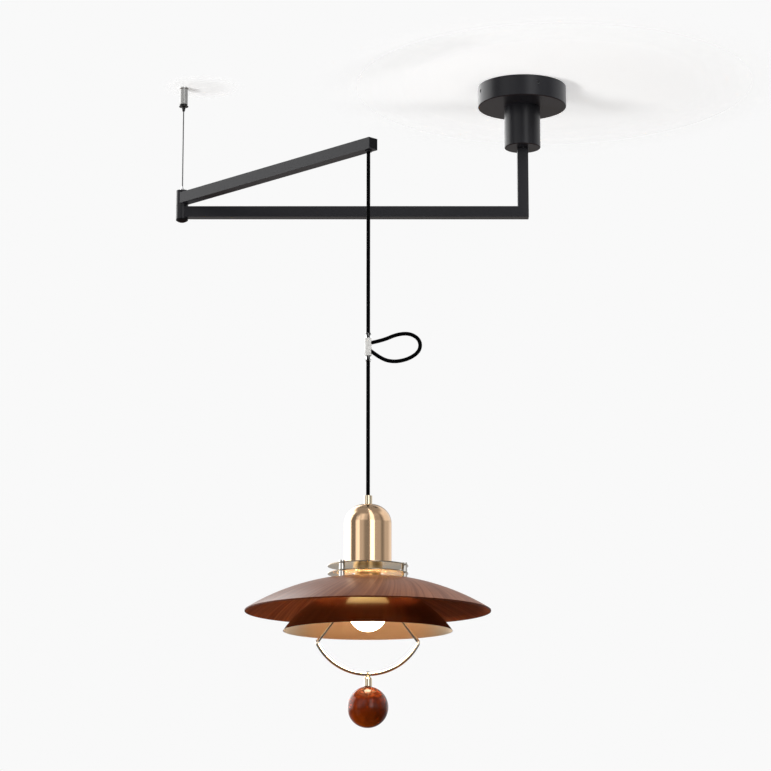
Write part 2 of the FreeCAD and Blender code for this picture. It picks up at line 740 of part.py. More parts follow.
def make_cord():
    """Straight stretches of cord, the adjuster and the slack loop beside it."""
    upper = cylinder("upper_run", d.cord_diameter, d.cord_upper_length, (ZERO, ZERO, z_adjuster_top))
    upper_end = sphere("upper_end", d.cord_diameter, (ZERO, ZERO, z_cord_pivot))
    publish(hang(fuse("upper_cord", [upper, upper_end])), "pendant_cord_upper")
    lower = cylinder("lower_run", d.cord_diameter, d.cord_lower_length, (ZERO, ZERO, z_nipple_top))
    lower_end = sphere("lower_end", d.cord_diameter, (ZERO, ZERO, z_nipple_top))
    publish(hang(fuse("lower_cord", [lower, lower_end])), "pendant_cord_lower")

    wide, narrow = d.adjuster_diameter / 2, d.adjuster_end_diameter / 2
    adjuster = turned("adjuster", [
        (ZERO, z_adjuster_top),
        (narrow, z_adjuster_top),
        (wide, z_adjuster_top - d.adjuster_taper),
        (wide, z_adjuster_foot + d.adjuster_taper),
        (narrow, z_adjuster_foot),
        (ZERO, z_adjuster_foot),
    ])
    publish(hang(adjuster), "cord_adjuster")

    middle = (z_adjuster_top.value + z_adjuster_foot.value) / 2
    route = [FreeCAD.Vector(x, 0, middle + rise) for x, rise in LOOP_ROUTE]
    radii = loop_radii(route)
    shape, length = rod_along(route, radii, d.cord_diameter.value)
    section = math.pi * d.cord_diameter.value ** 2 / 4
    print("loop radii", [round(radius, 1) for radius in radii])
    print("loop length", round(length, 1), "volume", round(shape.Volume), "expected", round(section * length))
    loop = doc.addObject("Part::Feature", "loop")
    loop.Shape = shape
    publish(hang(loop), "cord_loop")


def loop_radii(route):
    """Arc radius at each corner: 0.45 of the shorter run over the tangent of half the turn."""
    radii = []
    for index in range(1, len(route) - 1):
        arriving, leaving = route[index] - route[index - 1], route[index + 1] - route[index]
        shorter = min(arriving.Length, leaving.Length)
        radii.append(0.45 * shorter / math.tan(arriving.getAngle(leaving) / 2))
    return radii


def make_cap():
    """Cord nipple, bell cap and the lamp holder inside it."""
    tube, tube_bore = d.nipple_tube_diameter / 2, d.nipple_tube_bore / 2
    z_web = z_nipple_top - d.nipple_socket_depth
    z_thread = z_web - d.nipple_web
    nipple = turned("nipple", [
        (cord_hole / 2, z_nipple_top),
        (d.nipple_diameter / 2, z_nipple_top),
        (d.nipple_diameter / 2, z_cap_top),
        (tube, z_cap_top),
        (tube, z_thread),
        (tube_bore, z_thread),
        (tube_bore, z_web),
        (cord_hole / 2, z_web),
    ])
    publish(hang(nipple), "cord_nipple")
    threaded = ring("threaded", d.nipple_tube_bore, d.nipple_tube_diameter, z_thread, d.nipple_tube_length)
    publish(hang(threaded), "nipple_tube")

    rim, crown, wall = d.cap_diameter / 2, d.cap_top_diameter / 2, d.cap_wall
    z_shoulder = z_cap_top - d.cap_dome_height
    cap = turned("cap", [
        (tube, z_cap_top),
        (crown, z_cap_top),
        (rim, z_shoulder, d.cap_dome_radius, -1),
        (rim, z_upper_disc),
        (rim - wall, z_upper_disc),
        (rim - wall, z_shoulder),
        (crown - wall * 0.5, z_cap_top - wall, d.cap_dome_radius - wall * 0.5, 1),
        (tube, z_cap_top - wall),
    ])
    publish(hang(cap), "cap_shell")
    z_nut = z_cap_top - wall
    publish(hang(ring("cap_nut", d.nipple_tube_diameter, d.cap_locknut_diameter, z_nut, d.cap_locknut_height)),
            "cap_locknut")

    z_holder = z_cap_top - d.holder_drop
    z_tube_foot = z_thread - d.nipple_tube_length
    z_base_top = z_bulb_foot + d.bulb_length
    z_base_foot = z_base_top - d.bulb_base_length
    z_skirt = z_gallery - d.holder_skirt_length
    holder = turned("holder", [
        (tube, z_holder),
        (d.holder_neck_diameter / 2, z_holder),
        (d.holder_diameter / 2, z_holder - d.holder_shoulder),
        (d.holder_diameter / 2, z_gallery),
        (d.holder_skirt_diameter / 2, z_gallery),
        (d.holder_skirt_diameter / 2, z_skirt),
        (d.holder_skirt_bore / 2, z_skirt),
        (d.holder_skirt_bore / 2, z_base_foot),
        (d.bulb_base_diameter / 2, z_base_foot),
        (d.bulb_base_diameter / 2, z_base_top),
        (tube_bore, z_base_top),
        (tube_bore, z_tube_foot),
        (tube, z_tube_foot),
    ])
    publish(hang(holder), "lamp_holder")


def around_posts(make):
    """Call make(x, y) for each of the three posts and gather what it returns."""
    pieces = []
    for step in (0, 120, 240):
        angle = d.post_turn + step
        x = d.post_pitch_radius * cosine(angle)
        y = -(d.post_pitch_radius * sine(angle))
        pieces.extend(make(x, y))
    return pieces


def make_discs():
    """Two thin discs, and the three bolts with spacers that carry the shade."""
    bolt = d.post_bolt_diameter
    for name, label, hole, top in (
        ("disc_a", "upper_disc", d.holder_diameter, z_upper_disc),
        ("disc_b", "lower_disc", d.lower_disc_hole, z_lower_disc),
    ):
        plate = ring(name, hole, d.disc_diameter, top, d.disc_thickness)
        drills = around_posts(lambda x, y: [cylinder("drill", bolt, 10, (x, y, top - 5))])
        publish(hang(cut(name + "_drilled", plate, fuse(name + "_drills", drills))), label)
    ring_top = z_upper_disc - d.disc_thickness
    publish(hang(ring("disc_nut", d.holder_diameter, d.disc_ring_diameter, ring_top, d.disc_ring_height)), "disc_ring")

    span = d.disc_pitch - d.disc_thickness

    def spacers(x, y):
        made = []
        for foot in (z_lower_disc, z_plateau):
            blank = cylinder("spacer", d.post_diameter, span, (x, y, foot))
            made.append(cut("spacer_bored", blank, cylinder("spacer_bore", bolt, span + 4, (x, y, foot - 2))))
        return made

    publish(hang(fuse("spacers", around_posts(spacers))), "disc_spacers")
    z_bolt_foot = z_plateau - d.shade_thickness - d.post_nut_height

    def bolts(x, y):
        shank = cylinder("bolt", bolt, z_upper_disc - z_bolt_foot, (x, y, z_bolt_foot))
        return [shank, cylinder("bolt_head", d.post_head_diameter, d.post_head_height, (x, y, z_upper_disc))]

    publish(hang(fuse("bolts", around_posts(bolts))), "disc_bolts")

    def nuts(x, y):
        blank = cylinder("bolt_nut", d.post_nut_diameter, d.post_nut_height, (x, y, z_bolt_foot))
        bore = cylinder("bolt_nut_bore", bolt, d.post_nut_height + 4, (x, y, z_bolt_foot - 2))
        return [cut("bolt_nut_bored", blank, bore)]

    publish(hang(fuse("bolt_nuts", around_posts(nuts))), "disc_bolt_nuts")


def make_shade():
    """Shallow wooden dome with a flat top."""
    rim, plateau, hole = d.shade_diameter / 2, d.shade_plateau_diameter / 2, d.shade_hole_diameter / 2
    curve, thick = d.shade_curve_radius, d.shade_thickness
    shade = turned("shade", [
        (hole, z_plateau),
        (plateau, z_plateau),
        (rim, z_shade_rim + d.shade_rim_depth, curve, -1),
        (rim, z_shade_rim),
        (rim - thick * 0.5, z_shade_rim),
        (plateau - thick * 0.25, z_plateau - thick, curve - thick, 1),
        (hole, z_plateau - thick),
    ])
    drills = around_posts(lambda x, y: [cylinder("drill", d.post_bolt_diameter, 10, (x, y, z_plateau - 6))])
    publish(hang(cut("shade_drilled", shade, fuse("shade_drills", drills))), "wood_shade")


def crossing_bars(width, reach, foot, height):
    """Two bars crossing on the axis, turned half way between X and Y."""
    bars = []
    for yaw in (45, 135):
        bars.append(box("bar", reach * 2, width, height, (-reach, -(width / 2), foot), as_size(yaw)))
    return bars


def around_rivets(make):
    """Call make(x, y) for each of the four rivets and gather what it returns."""
    pieces = []
    for step in (45, 135, 225, 315):
        angle = as_size(step)
        pieces.append(make(d.rivet_pitch_radius * cosine(angle), d.rivet_pitch_radius * sine(angle)))
    return pieces


def make_reflector():
    """Bowl reflector, the gallery that carries it and the ring that clamps the gallery."""
    opening, top, thick = d.reflector_opening / 2, d.reflector_top_diameter / 2, d.reflector_thickness
    rim, curve = d.reflector_diameter / 2, d.reflector_curve_radius
    bowl = turned("bowl", [
        (opening, z_reflector),
        (top, z_reflector),
        (rim, z_reflector_rim, curve, -1),
        (rim - thick * 1.2, z_reflector_rim),
        (top - thick * 0.2, z_reflector - thick, curve - thick, 1),
        (opening, z_reflector - thick),
    ])
    holes = around_rivets(lambda x, y: cylinder("rivet_hole", d.rivet_diameter, 8, (x, y, z_reflector - 5)))
    holes += bow_holes(z_reflector - 5)
    publish(hang(cut("bowl_drilled", bowl, fuse("bowl_holes", holes))), "inner_reflector")

    skirt, inner, outer = d.holder_skirt_diameter / 2, d.gallery_inner_diameter / 2, d.gallery_outer_diameter / 2
    plate = d.gallery_thickness
    dish = turned("dish", [
        (skirt, z_gallery),
        (inner, z_gallery),
        (opening, z_reflector + plate),
        (outer, z_reflector + plate),
        (outer, z_reflector),
        (opening - plate * 0.5, z_reflector),
        (inner - plate * 0.5, z_gallery - plate),
        (skirt, z_gallery - plate),
    ])
    depth = z_gallery - z_reflector + 8
    foot = z_reflector - 4
    window_blank = ring("window_blank", inner * 2, d.reflector_opening, foot + depth, depth)
    bars = fuse("window_bars", crossing_bars(d.gallery_arm_width, outer, foot - 1, depth + 2))
    windows = cut("windows", window_blank, bars)
    holes = around_rivets(lambda x, y: cylinder("rivet_drill", d.rivet_diameter, 8, (x, y, z_reflector - 2)))
    holes += bow_holes(z_reflector - 2)
    gallery = cut("gallery", dish, fuse("gallery_tools", [windows] + holes))
    publish(hang(gallery), "reflector_gallery")
    ring_top = z_gallery - plate
    clamp = ring("clamp", d.holder_skirt_diameter, d.gallery_ring_diameter, ring_top, d.gallery_ring_height)
    publish(hang(clamp), "gallery_ring")

    def rivet(x, y):
        z_top, z_low = z_reflector + plate, z_reflector - thick
        shank = cylinder("rivet", d.rivet_diameter, plate + thick, (x, y, z_low))
        head = cylinder("rivet_head", d.rivet_head_diameter, d.rivet_head_height, (x, y, z_top))
        tail_foot = z_low - d.rivet_head_height
        tail = cylinder("rivet_tail", d.rivet_head_diameter, d.rivet_head_height, (x, y, tail_foot))
        return fuse("rivet_whole", [shank, head, tail])

    publish(hang(fuse("rivets", around_rivets(rivet))), "gallery_rivets")


def bow_holes(foot):
    """Drills for the two ends of the bow handle."""
    return [cylinder("bow_hole", d.bow_rod_diameter, 10, (d.bow_leg_offset * side, ZERO, foot)) for side in (1, -1)]


def make_bulb():
    """Lamp bulb: metal base and glass."""
    z_top = z_bulb_foot + d.bulb_length
    z_base_foot = z_top - d.bulb_base_length
    base = turned("base", [
        (ZERO, z_top),
        (d.bulb_base_diameter / 2, z_top),
        (d.bulb_base_diameter / 2, z_base_foot),
        (ZERO, z_base_foot),
    ])
    publish(hang(base), "bulb_base")
    globe, neck = d.bulb_diameter / 2, d.bulb_neck_diameter / 2
    z_globe = z_bulb_foot + globe
    z_neck = z_base_foot - d.bulb_neck_length
    wall = d.bulb_wall
    glass = turned("glass", [
        (d.bulb_base_diameter / 2 - wall, z_base_foot),
        (d.bulb_base_diameter / 2, z_base_foot),
        (neck, z_neck),
        (globe, z_globe, d.bulb_neck_sweep, -1),
        (ZERO, z_bulb_foot, globe, -1),
        (ZERO, z_bulb_foot + wall),
        (globe - wall, z_globe, globe - wall, 1),
        (neck - wall, z_neck, d.bulb_neck_sweep - wall, 1),
    ])
    publish(hang(glass), "bulb_glass")


def make_handle():
    """Bow handle bent from rod, its nuts, and the ball on its stud."""
    rod = d.bow_rod_diameter
    z_leg = z_reflector + d.gallery_thickness + d.bow_leg_top
    leg, corner = d.bow_leg_offset.value, d.bow_corner_offset.value
    z_knee = z_reflector.value - d.bow_knee_drop.value
    z_corner = z_reflector.value - d.bow_corner_drop.value
    shape = bow_shape(leg, z_leg.value, z_knee, corner, z_corner, z_bow.value, rod.value)
    bow = doc.addObject("Part::Feature", "bow")
    bow.Shape = shape
    drill = cylinder("stud_drill", d.ball_stud_diameter, 12, (ZERO, ZERO, z_bow - 6))
    publish(hang(cut("bow_drilled", bow, drill)), "bow_handle")

    nuts = []
    plate_top, plate_foot = z_reflector + d.gallery_thickness, z_reflector - d.reflector_thickness
    for side in (1, -1):
        x = d.bow_leg_offset * side
        for foot in (plate_top, plate_foot - d.bow_nut_height):
            blank = cylinder("leg_nut", d.bow_nut_diameter, d.bow_nut_height, (x, ZERO, foot))
            bore = cylinder("leg_nut_bore", rod, d.bow_nut_height + 4, (x, ZERO, foot - 2))
            nuts.append(cut("leg_nut_bored", blank, bore))
    publish(hang(fuse("leg_nuts", nuts)), "bow_nuts")

    stud, rim, neck = d.ball_stud_diameter / 2, d.ferrule_diameter / 2, d.ferrule_neck_diameter / 2
    z_ferrule = z_bow - rod / 2
    ferrule = turned("ferrule", [
        (stud, z_ferrule),
        (neck, z_ferrule),
        (neck, z_ferrule - d.ferrule_height * 0.12),
        (rim, z_ferrule - d.ferrule_height * 0.26),
        (rim, z_ball_top),
        (stud, z_ball_top),
    ])
    ball_centre = z_ball_top - d.ball_diameter / 2
    ball_tool = sphere("ferrule_seat", d.ball_diameter, (ZERO, ZERO, ball_centre))
    publish(hang(cut("ferrule_seated", ferrule, ball_tool)), "ball_ferrule")
    z_stud_foot = z_ball_top - d.ball_stud_depth
    z_head = z_bow + rod / 2
    shank = cylinder("stud", d.ball_stud_diameter, z_head - z_stud_foot, (ZERO, ZERO, z_stud_foot))
    head = cylinder("stud_head", d.ball_stud_head_diameter, d.ball_stud_head_height, (ZERO, ZERO, z_head))
    publish(hang(fuse("stud_whole", [shank, head])), "ball_stud")
    ball = sphere("ball", d.ball_diameter, (ZERO, ZERO, ball_centre))
    ball_bore = cylinder("ball_bore", d.ball_stud_diameter, d.ball_stud_depth + 4, (ZERO, ZERO, z_stud_foot))
    publish(hang(cut("ball_bored", ball, ball_bore)), "pull_ball")


def bow_shape(leg, z_leg, z_knee, corner, z_corner, z_bottom, rod):
    """Rod with upright ends, legs leaning out to the corners and a round bow between them."""
    bow_radius = (corner ** 2 + (z_corner - z_bottom) ** 2) / (2 * (z_corner - z_bottom))
    centre = FreeCAD.Vector(0, 0, z_bottom + bow_radius)
    top, knee = FreeCAD.Vector(-leg, 0, z_leg), FreeCAD.Vector(-leg, 0, z_knee)
    lean = (FreeCAD.Vector(-corner, 0, z_corner) - knee).normalize()
    inward = FreeCAD.Vector(-lean.z, 0, lean.x)
    knee_trim = d.bow_knee_radius.value * math.tan(lean.getAngle(FreeCAD.Vector(0, 0, -1)) / 2)
    knee_in, knee_out = knee + FreeCAD.Vector(0, 0, knee_trim), knee + lean * knee_trim
    knee_mid = on_arc(knee_in, knee_out, knee_in - FreeCAD.Vector(d.bow_knee_radius.value, 0, 0))
    bend = d.bow_corner_radius.value
    offset = knee + inward * bend - centre
    along = -offset.dot(lean)
    along += math.sqrt(offset.dot(lean) ** 2 - offset.dot(offset) + (bow_radius - bend) ** 2)
    bend_centre = knee + inward * bend + lean * along
    bend_in = knee + lean * along
    bend_out = centre + (bend_centre - centre).normalize() * bow_radius
    bend_mid = on_arc(bend_in, bend_out, bend_centre)
    left = [top, knee_in, knee_mid, knee_out, bend_in, bend_mid, bend_out]
    right = [FreeCAD.Vector(-point.x, 0, point.z) for point in left]
    edges = half_bow(left)
    edges.append(Part.Arc(bend_out, FreeCAD.Vector(0, 0, z_bottom), right[-1]).toShape())
    edges += half_bow(right)
    path = Part.Wire(Part.__sortEdges__(edges))
    section = Part.Wire(Part.Circle(top, FreeCAD.Vector(0, 0, -1), rod / 2).toShape())
    shape = path.makePipeShell([section], True, False)
    print("bow radius", round(bow_radius, 1), "rod length", round(path.Length, 1), "volume", round(shape.Volume),
          "expected", round(math.pi * rod ** 2 / 4 * path.Length))
    return shape


def on_arc(start, end, centre):
    """The middle point of the short arc from start to end."""
    return centre + ((start + end) / 2 - centre).normalize() * (start - centre).Length


def half_bow(points):
    """Upright end, knee, leg and corner bend of one side of the bow."""
    top, knee_in, knee_mid, knee_out, bend_in, bend_mid, bend_out = points
    return [
        Part.LineSegment(top, knee_in).toShape(),
        Part.Arc(knee_in, knee_mid, knee_out).toShape(),
        Part.LineSegment(knee_out, bend_in).toShape(),
        Part.Arc(bend_in, bend_mid, bend_out).toShape(),
    ]


def check_and_write():
    """Stop on anything that failed, then write one file per piece."""
    doc.recompute()
    for item in doc.Objects:
        if "Invalid" in item.State or "Error" in item.State:
            raise RuntimeError(f"{item.Name} did not build: {item.State}")
    os.makedirs("parts", exist_ok=True)
    for node in nodes:
        shape = node.Shape
        if shape.isNull() or not shape.isValid() or not shape.Solids:
            raise RuntimeError(f"{node.Label} has no valid solid")
        shape.exportStep(f"parts/{node.Label}.step")
        box_of = shape.BoundBox
        print(f"{node.Label:24s} solids {len(shape.Solids):2d} volume {shape.Volume:11.1f}  "
              f"x {box_of.XMin:8.2f} {box_of.XMax:8.2f}  y {box_of.YMin:8.2f} {box_of.YMax:8.2f}  "
              f"z {box_of.ZMin:9.2f} {box_of.ZMax:9.2f}")
    print("nodes", len(nodes))


make_canopy()
make_swivel()
make_lower_arm()
make_elbow()
make_suspension()
make_upper_arm()
make_cord()
make_cap()
make_discs()
make_shade()
make_reflector()
make_bulb()
make_handle()
check_and_write()
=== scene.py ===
"""Finishes of the swing arm pendant light: paint, plating, walnut, cord, lit bulb and a plain studio."""

import json
import math

import bmesh
import bpy
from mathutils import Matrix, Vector

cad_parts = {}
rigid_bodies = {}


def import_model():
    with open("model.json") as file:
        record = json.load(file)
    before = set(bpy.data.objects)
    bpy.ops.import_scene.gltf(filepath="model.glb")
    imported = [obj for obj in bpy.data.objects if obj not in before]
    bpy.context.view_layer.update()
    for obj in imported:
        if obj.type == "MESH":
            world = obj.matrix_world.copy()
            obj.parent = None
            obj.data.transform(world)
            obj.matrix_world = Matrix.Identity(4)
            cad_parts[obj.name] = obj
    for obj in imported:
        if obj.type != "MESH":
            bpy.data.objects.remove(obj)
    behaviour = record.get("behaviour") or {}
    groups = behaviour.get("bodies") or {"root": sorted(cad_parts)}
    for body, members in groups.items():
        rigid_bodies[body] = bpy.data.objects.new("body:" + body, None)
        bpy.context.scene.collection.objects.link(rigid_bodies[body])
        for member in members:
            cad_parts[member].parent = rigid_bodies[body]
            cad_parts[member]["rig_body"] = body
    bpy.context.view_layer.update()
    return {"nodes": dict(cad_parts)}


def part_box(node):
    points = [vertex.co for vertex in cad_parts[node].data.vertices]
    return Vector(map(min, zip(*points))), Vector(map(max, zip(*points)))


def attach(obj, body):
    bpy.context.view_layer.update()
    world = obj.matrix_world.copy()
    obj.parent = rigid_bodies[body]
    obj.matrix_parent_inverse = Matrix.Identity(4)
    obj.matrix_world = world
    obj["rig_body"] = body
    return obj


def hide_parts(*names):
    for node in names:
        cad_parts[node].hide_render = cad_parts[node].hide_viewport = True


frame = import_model()

bl_info = {
    "name": "Swing arm pendant light",
    "version": (1, 0, 0),
    "blender": (4, 5, 0),
    "location": "3D View > Sidebar > Pendant",
    "description": "Dresses the packed pendant light and sets up its studio",
    "category": "Object",
}


def middle(node):
    """Centre of a node's box."""
    low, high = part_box(node)
    return (Vector(low) + Vector(high)) / 2


def top(node):
    """Highest level of a node."""
    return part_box(node)[1][2]


def foot(node):
    """Lowest level of a node."""
    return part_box(node)[0][2]


LAMP = Vector((middle("pull_ball").x, middle("pull_ball").y, 0.0))
ELBOW = Vector((middle("suspension_wire").x, middle("suspension_wire").y, 0.0))
CORD_PIVOT = foot("cord_exit_bush")
ADJUSTER_MIDDLE = middle("cord_adjuster").z

# Slack loop beside the adjuster: across from the cord axis, above the adjuster's middle, in metres
LOOP_ROUTE = [
    (0.0026, 0.0061),
    (0.0205, 0.0096),
    (0.0425, 0.0194),
    (0.0620, 0.0202),
    (0.0756, 0.0099),
    (0.0749, -0.0059),
    (0.0595, -0.0174),
    (0.0380, -0.0223),
    (0.0186, -0.0176),
    (0.0026, -0.0046),
]


def colour(label, text, value):
    """A colour a user may change."""
    return bpy.props.FloatVectorProperty(
        name=label, description=text, default=value, subtype="COLOR", size=3, min=0.0, max=1.0)


def length(label, text, value):
    """A length a user may change, in metres."""
    return bpy.props.FloatProperty(
        name=label, description=text, default=value, min=0.0, precision=5, unit="LENGTH")


def amount(label, text, value, most=1.0):
    """A plain number a user may change."""
    return bpy.props.FloatProperty(name=label, description=text, default=value, min=0.0, max=most)


class PendantFinishes(bpy.types.PropertyGroup):
    """Colours of the pendant's finishes."""

    coat: colour("Black coat", "Satin coat of the canopy and arms", (0.0170, 0.0170, 0.0205))
    plastic: colour("Black plastic", "Plugs, caps and bushes", (0.008, 0.008, 0.009))
    braid: colour("Cord braid", "Yarn of the textile cord", (0.0016, 0.0017, 0.0021))
    champagne: colour("Champagne metal", "Spun cap", (0.74, 0.50, 0.31))
    plate: colour("Satin plate", "Discs under the cap", (0.80, 0.66, 0.47))
    brass: colour("Pale brass", "Bow handle, ferrule and nipple", (0.72, 0.61, 0.45))
    bronze: colour("Bronze plating", "Outside of the reflector", (0.42, 0.36, 0.29))
    lining: colour("Reflector lining", "Inside of the reflector", (0.84, 0.69, 0.51))
    walnut_light: colour("Walnut, light", "Pale streaks of the shade", (0.330, 0.122, 0.056))
    walnut_mid: colour("Walnut, middle", "Ground colour of the shade", (0.215, 0.070, 0.029))
    walnut_dark: colour("Walnut, dark", "Grain lines of the shade", (0.095, 0.025, 0.009))
    # Inside walnut: the matt inside of the shade, painted darker and more saturated than the outside as
    # shade on the underside
    shaded_inner_light: colour("Inside walnut, light", "Pale streaks under the shade", (0.250, 0.062, 0.020))
    shaded_inner_mid: colour("Inside walnut, middle", "Ground colour under the shade", (0.170, 0.038, 0.011))
    shaded_inner_dark: colour("Inside walnut, dark", "Grain lines under the shade", (0.080, 0.016, 0.004))
    edge: colour("Stained edge", "Grain lines on the rim of the shade", (0.020, 0.005, 0.002))
    # Gold painted on the wood round the lamp holder, standing in for the bulb's glow there: painted light
    painted_glow: colour("Painted glow", "Painted gold glow on the wood round the lamp holder", (0.97, 0.82, 0.46))
    ball_light: colour("Ball, light", "Pale streaks of the pull ball", (0.160, 0.021, 0.001))
    ball_dark: colour("Ball, dark", "Grain lines of the pull ball", (0.040, 0.003, 0.0005))
    glow: colour("Bulb glow", "Colour of the lit bulb", (1.0, 0.80, 0.52))
    boards: colour("Floor boards", "Warm floor that the lining mirrors", (0.50, 0.15, 0.01))


class PendantSizes(bpy.types.PropertyGroup):
    """Sizes that only the finish needs."""

    edge: length("Soft edge", "Rounding of sheet and turned edges", 0.0004)
    tube_edge: length("Tube edge", "Rounding of the square tube's corners", 0.0009)
    cord: length("Cord diameter", "Diameter of the textile cord", 0.0056)
    relief: length("Braid relief", "Height of the braid's yarns", 0.00012)
    yarn: length("Braid pitch", "Length of one crossing of the braid", 0.0017)
    strand: length("Wire strand", "Diameter of one strand of the wire", 0.00066)
    lay: length("Wire lay", "Length of one turn of the wire's strands", 0.014)


class PendantStudio(bpy.types.PropertyGroup):
    """Light and background."""

    background: amount("Background", "Level of the white background", 0.947)
    ambient: amount("Ambient", "Soft light from all sides", 0.22)
    room: amount("Room", "Level that metal mirrors where no softbox stands", 0.26)
    upper: amount("Upper room", "Level added to the room well above the horizon", 0.14)
    dim: amount("Lower room", "Level that metal mirrors a little below the horizon", 0.10)
    floor: amount("Floor", "Level added to the lower room further down", 0.52)
    backdrop: amount("Backdrop", "Level that metal mirrors behind the lamp, near the horizon", 0.40)
    key: amount("Key light", "Power of the soft light on the left, in watts", 17.0, 500.0)
    fill: amount("Fill light", "Power of the soft light right of the camera, in watts", 16.0, 500.0)
    crown: amount("Top light", "Power of the soft light above, in watts", 68.0, 500.0)
    plaster: amount("Ceiling lift", "Glow that brings the ceiling up to the background", 0.478)
    bulb: amount("Bulb", "Strength of the lit bulb at its shoulder", 210.0, 500.0)


# Softboxes that metal mirrors: degrees round from the camera to the right, half width, softness, level,
# the share of that level well above the horizon, and the height at which it ends
SOFTBOXES = [
    (-128.0, 34.0, 8.0, 3.00, 1.0, 0.76),
    (-51.0, 6.0, 7.0, 1.30, 0.5, 0.60),
    (-34.0, 8.0, 14.0, 0.35, 1.6, 0.76),
    (-18.0, 10.0, 12.0, 0.04, 10.0, 0.76),
    (21.5, 7.5, 6.0, 2.90, 0.7, 1.10),
    (50.0, 10.0, 14.0, 0.35, 0.6, 0.76),
    (122.0, 26.0, 22.0, 0.40, 2.0, 0.76),
    (168.0, 10.0, 12.0, 0.14, 1.0, 0.76),
    (-169.0, 9.0, 10.0, 0.30, 1.0, 0.76),
]


def finishes():
    return bpy.context.scene.pendant_finishes


def sizes():
    return bpy.context.scene.pendant_sizes


def studio():
    return bpy.context.scene.pendant_studio


# Shader nodes


def feed(tree, socket, value):
    """Links a socket to another one, or sets its constant."""
    if isinstance(value, bpy.types.NodeSocket):
        tree.links.new(value, socket)
    elif socket.type == "RGBA" and len(value) == 3:
        socket.default_value = (*value, 1.0)
    else:
        socket.default_value = value


def add(tree, kind, sockets=None, **settings):
    """A shader node with its settings and what feeds its sockets."""
    made = tree.nodes.new("ShaderNode" + kind)
    for name, value in settings.items():
        setattr(made, name, value)
    for key, value in (sockets or {}).items():
        feed(tree, made.inputs[key], value)
    return made


def maths(tree, operation, *values):
    """One Math node and its result."""
    return add(tree, "Math", dict(enumerate(values)), operation=operation).outputs[0]


def product(tree, *values):
    """Values multiplied together."""
    result = values[0]
    for value in values[1:]:
        result = maths(tree, "MULTIPLY", result, value)
    return result


def vectors(tree, operation, *values):
    """One Vector Math node and its result, which is a number for LENGTH and DISTANCE."""
    results = add(tree, "VectorMath", dict(enumerate(values)), operation=operation).outputs
    return results["Value"] if operation in ("LENGTH", "DISTANCE") else results["Vector"]


def times(tree, vector, factor):
    """A vector or colour times one number."""
    return add(tree, "VectorMath", {0: vector, "Scale": factor}, operation="SCALE").outputs[0]


def scaled(tree, vector, *factors):
    """A vector times three numbers."""
    return vectors(tree, "MULTIPLY", vector, factors)


def remap(tree, value, low, high, to_low=0.0, to_high=1.0):
    """Smooth step of a value between two limits."""
    sockets = {0: value, 1: low, 2: high, 3: to_low, 4: to_high}
    return add(tree, "MapRange", sockets, interpolation_type="SMOOTHSTEP").outputs[0]


def mixed(tree, factor, first, second):
    """Mix of two colours."""
    return add(tree, "Mix", {0: factor, 6: first, 7: second}, data_type="RGBA").outputs[2]


def noise(tree, vector, scale, detail=2.0, rough=0.5):
    """Value of a noise texture."""
    sockets = {"Vector": vector, "Scale": scale, "Detail": detail, "Roughness": rough}
    return add(tree, "TexNoise", sockets).outputs[0]


def place_on(tree):
    """Place on a piece, in the frame's metres."""
    return add(tree, "TexCoord").outputs["Object"]


def about_axis(tree, place, centre):
    """A place seen from an upright axis: the vector, its flat part, the distance and the level."""
    local = vectors(tree, "SUBTRACT", place, centre)
    apart = add(tree, "SeparateXYZ", {0: local}).outputs
    flat = add(tree, "CombineXYZ", {0: apart[0], 1: apart[1]}).outputs[0]
    return local, flat, vectors(tree, "LENGTH", flat), apart[2]


def round_and_along(tree, flat, width, along):
    """A flat direction times a width, with the place along the grain as its third part."""
    around = times(tree, vectors(tree, "NORMALIZE", flat), width)
    return vectors(tree, "ADD", around, add(tree, "CombineXYZ", {2: along}).outputs[0])


SOCKETS = {"vector": "NodeSocketVector", "colour": "NodeSocketColor", "value": "NodeSocketFloat"}


def surface_group(name, inputs):
    """An empty shader group that puts out a colour, a roughness and a height."""
    group = bpy.data.node_groups.new(name, "ShaderNodeTree")
    for label, kind, default in inputs:
        socket = group.interface.new_socket(name=label, in_out="INPUT", socket_type=SOCKETS[kind])
        socket.default_value = default
    for label, kind in (("Color", "colour"), ("Roughness", "value"), ("Height", "value")):
        group.interface.new_socket(name=label, in_out="OUTPUT", socket_type=SOCKETS[kind])
    source = group.nodes.new("NodeGroupInput").outputs
    result = group.nodes.new("NodeGroupOutput").inputs
    return group, source, result


def close_group(group, result, colour_out, rough_out, height_out):
    """Joins the three results to the group's outputs."""
    for key, value in (("Color", colour_out), ("Roughness", rough_out), ("Height", height_out)):
        group.links.new(value, result[key])
    return group


def drift(tree, start, value, spread):
    """A number that wanders from its start by a value round one half."""
    return maths(tree, "MULTIPLY_ADD", maths(tree, "SUBTRACT", value, 0.5), spread, start)


def weighed(tree, first, second, share):
    """Two values by their shares, which make up one."""
    return maths(tree, "MULTIPLY_ADD", first, share, product(tree, second, 1.0 - share))


PLAIN_INPUTS = [
    ("Vector", "vector", (0.0, 0.0, 0.0)),
    ("Color", "colour", (0.5, 0.5, 0.5, 1.0)),
    ("Roughness", "value", 0.4),
    ("Contrast", "value", 0.2),
    ("Rough spread", "value", 0.1),
]


def close_plain(group, source, result, tint_by, rough_by, height):
    """Ends a group with plain inputs: its colour and roughness wander by values round one half."""
    shown = times(group, source["Color"], drift(group, 1.0, tint_by, source["Contrast"]))
    rough = drift(group, source["Roughness"], rough_by, source["Rough spread"])
    return close_group(group, result, shown, rough, height)


def coated_group():
    """Powder coat and moulded plastic: fine grain with faint large mottling."""
    group, source, result = surface_group("Coated surface", PLAIN_INPUTS + [("Grain", "value", 2600.0)])
    grain = noise(group, source["Vector"], source["Grain"], 2.0, 0.6)
    cloud = noise(group, source["Vector"], 24.0, 3.0, 0.55)
    both = weighed(group, grain, cloud, 0.6)
    return close_plain(group, source, result, both, both, grain)


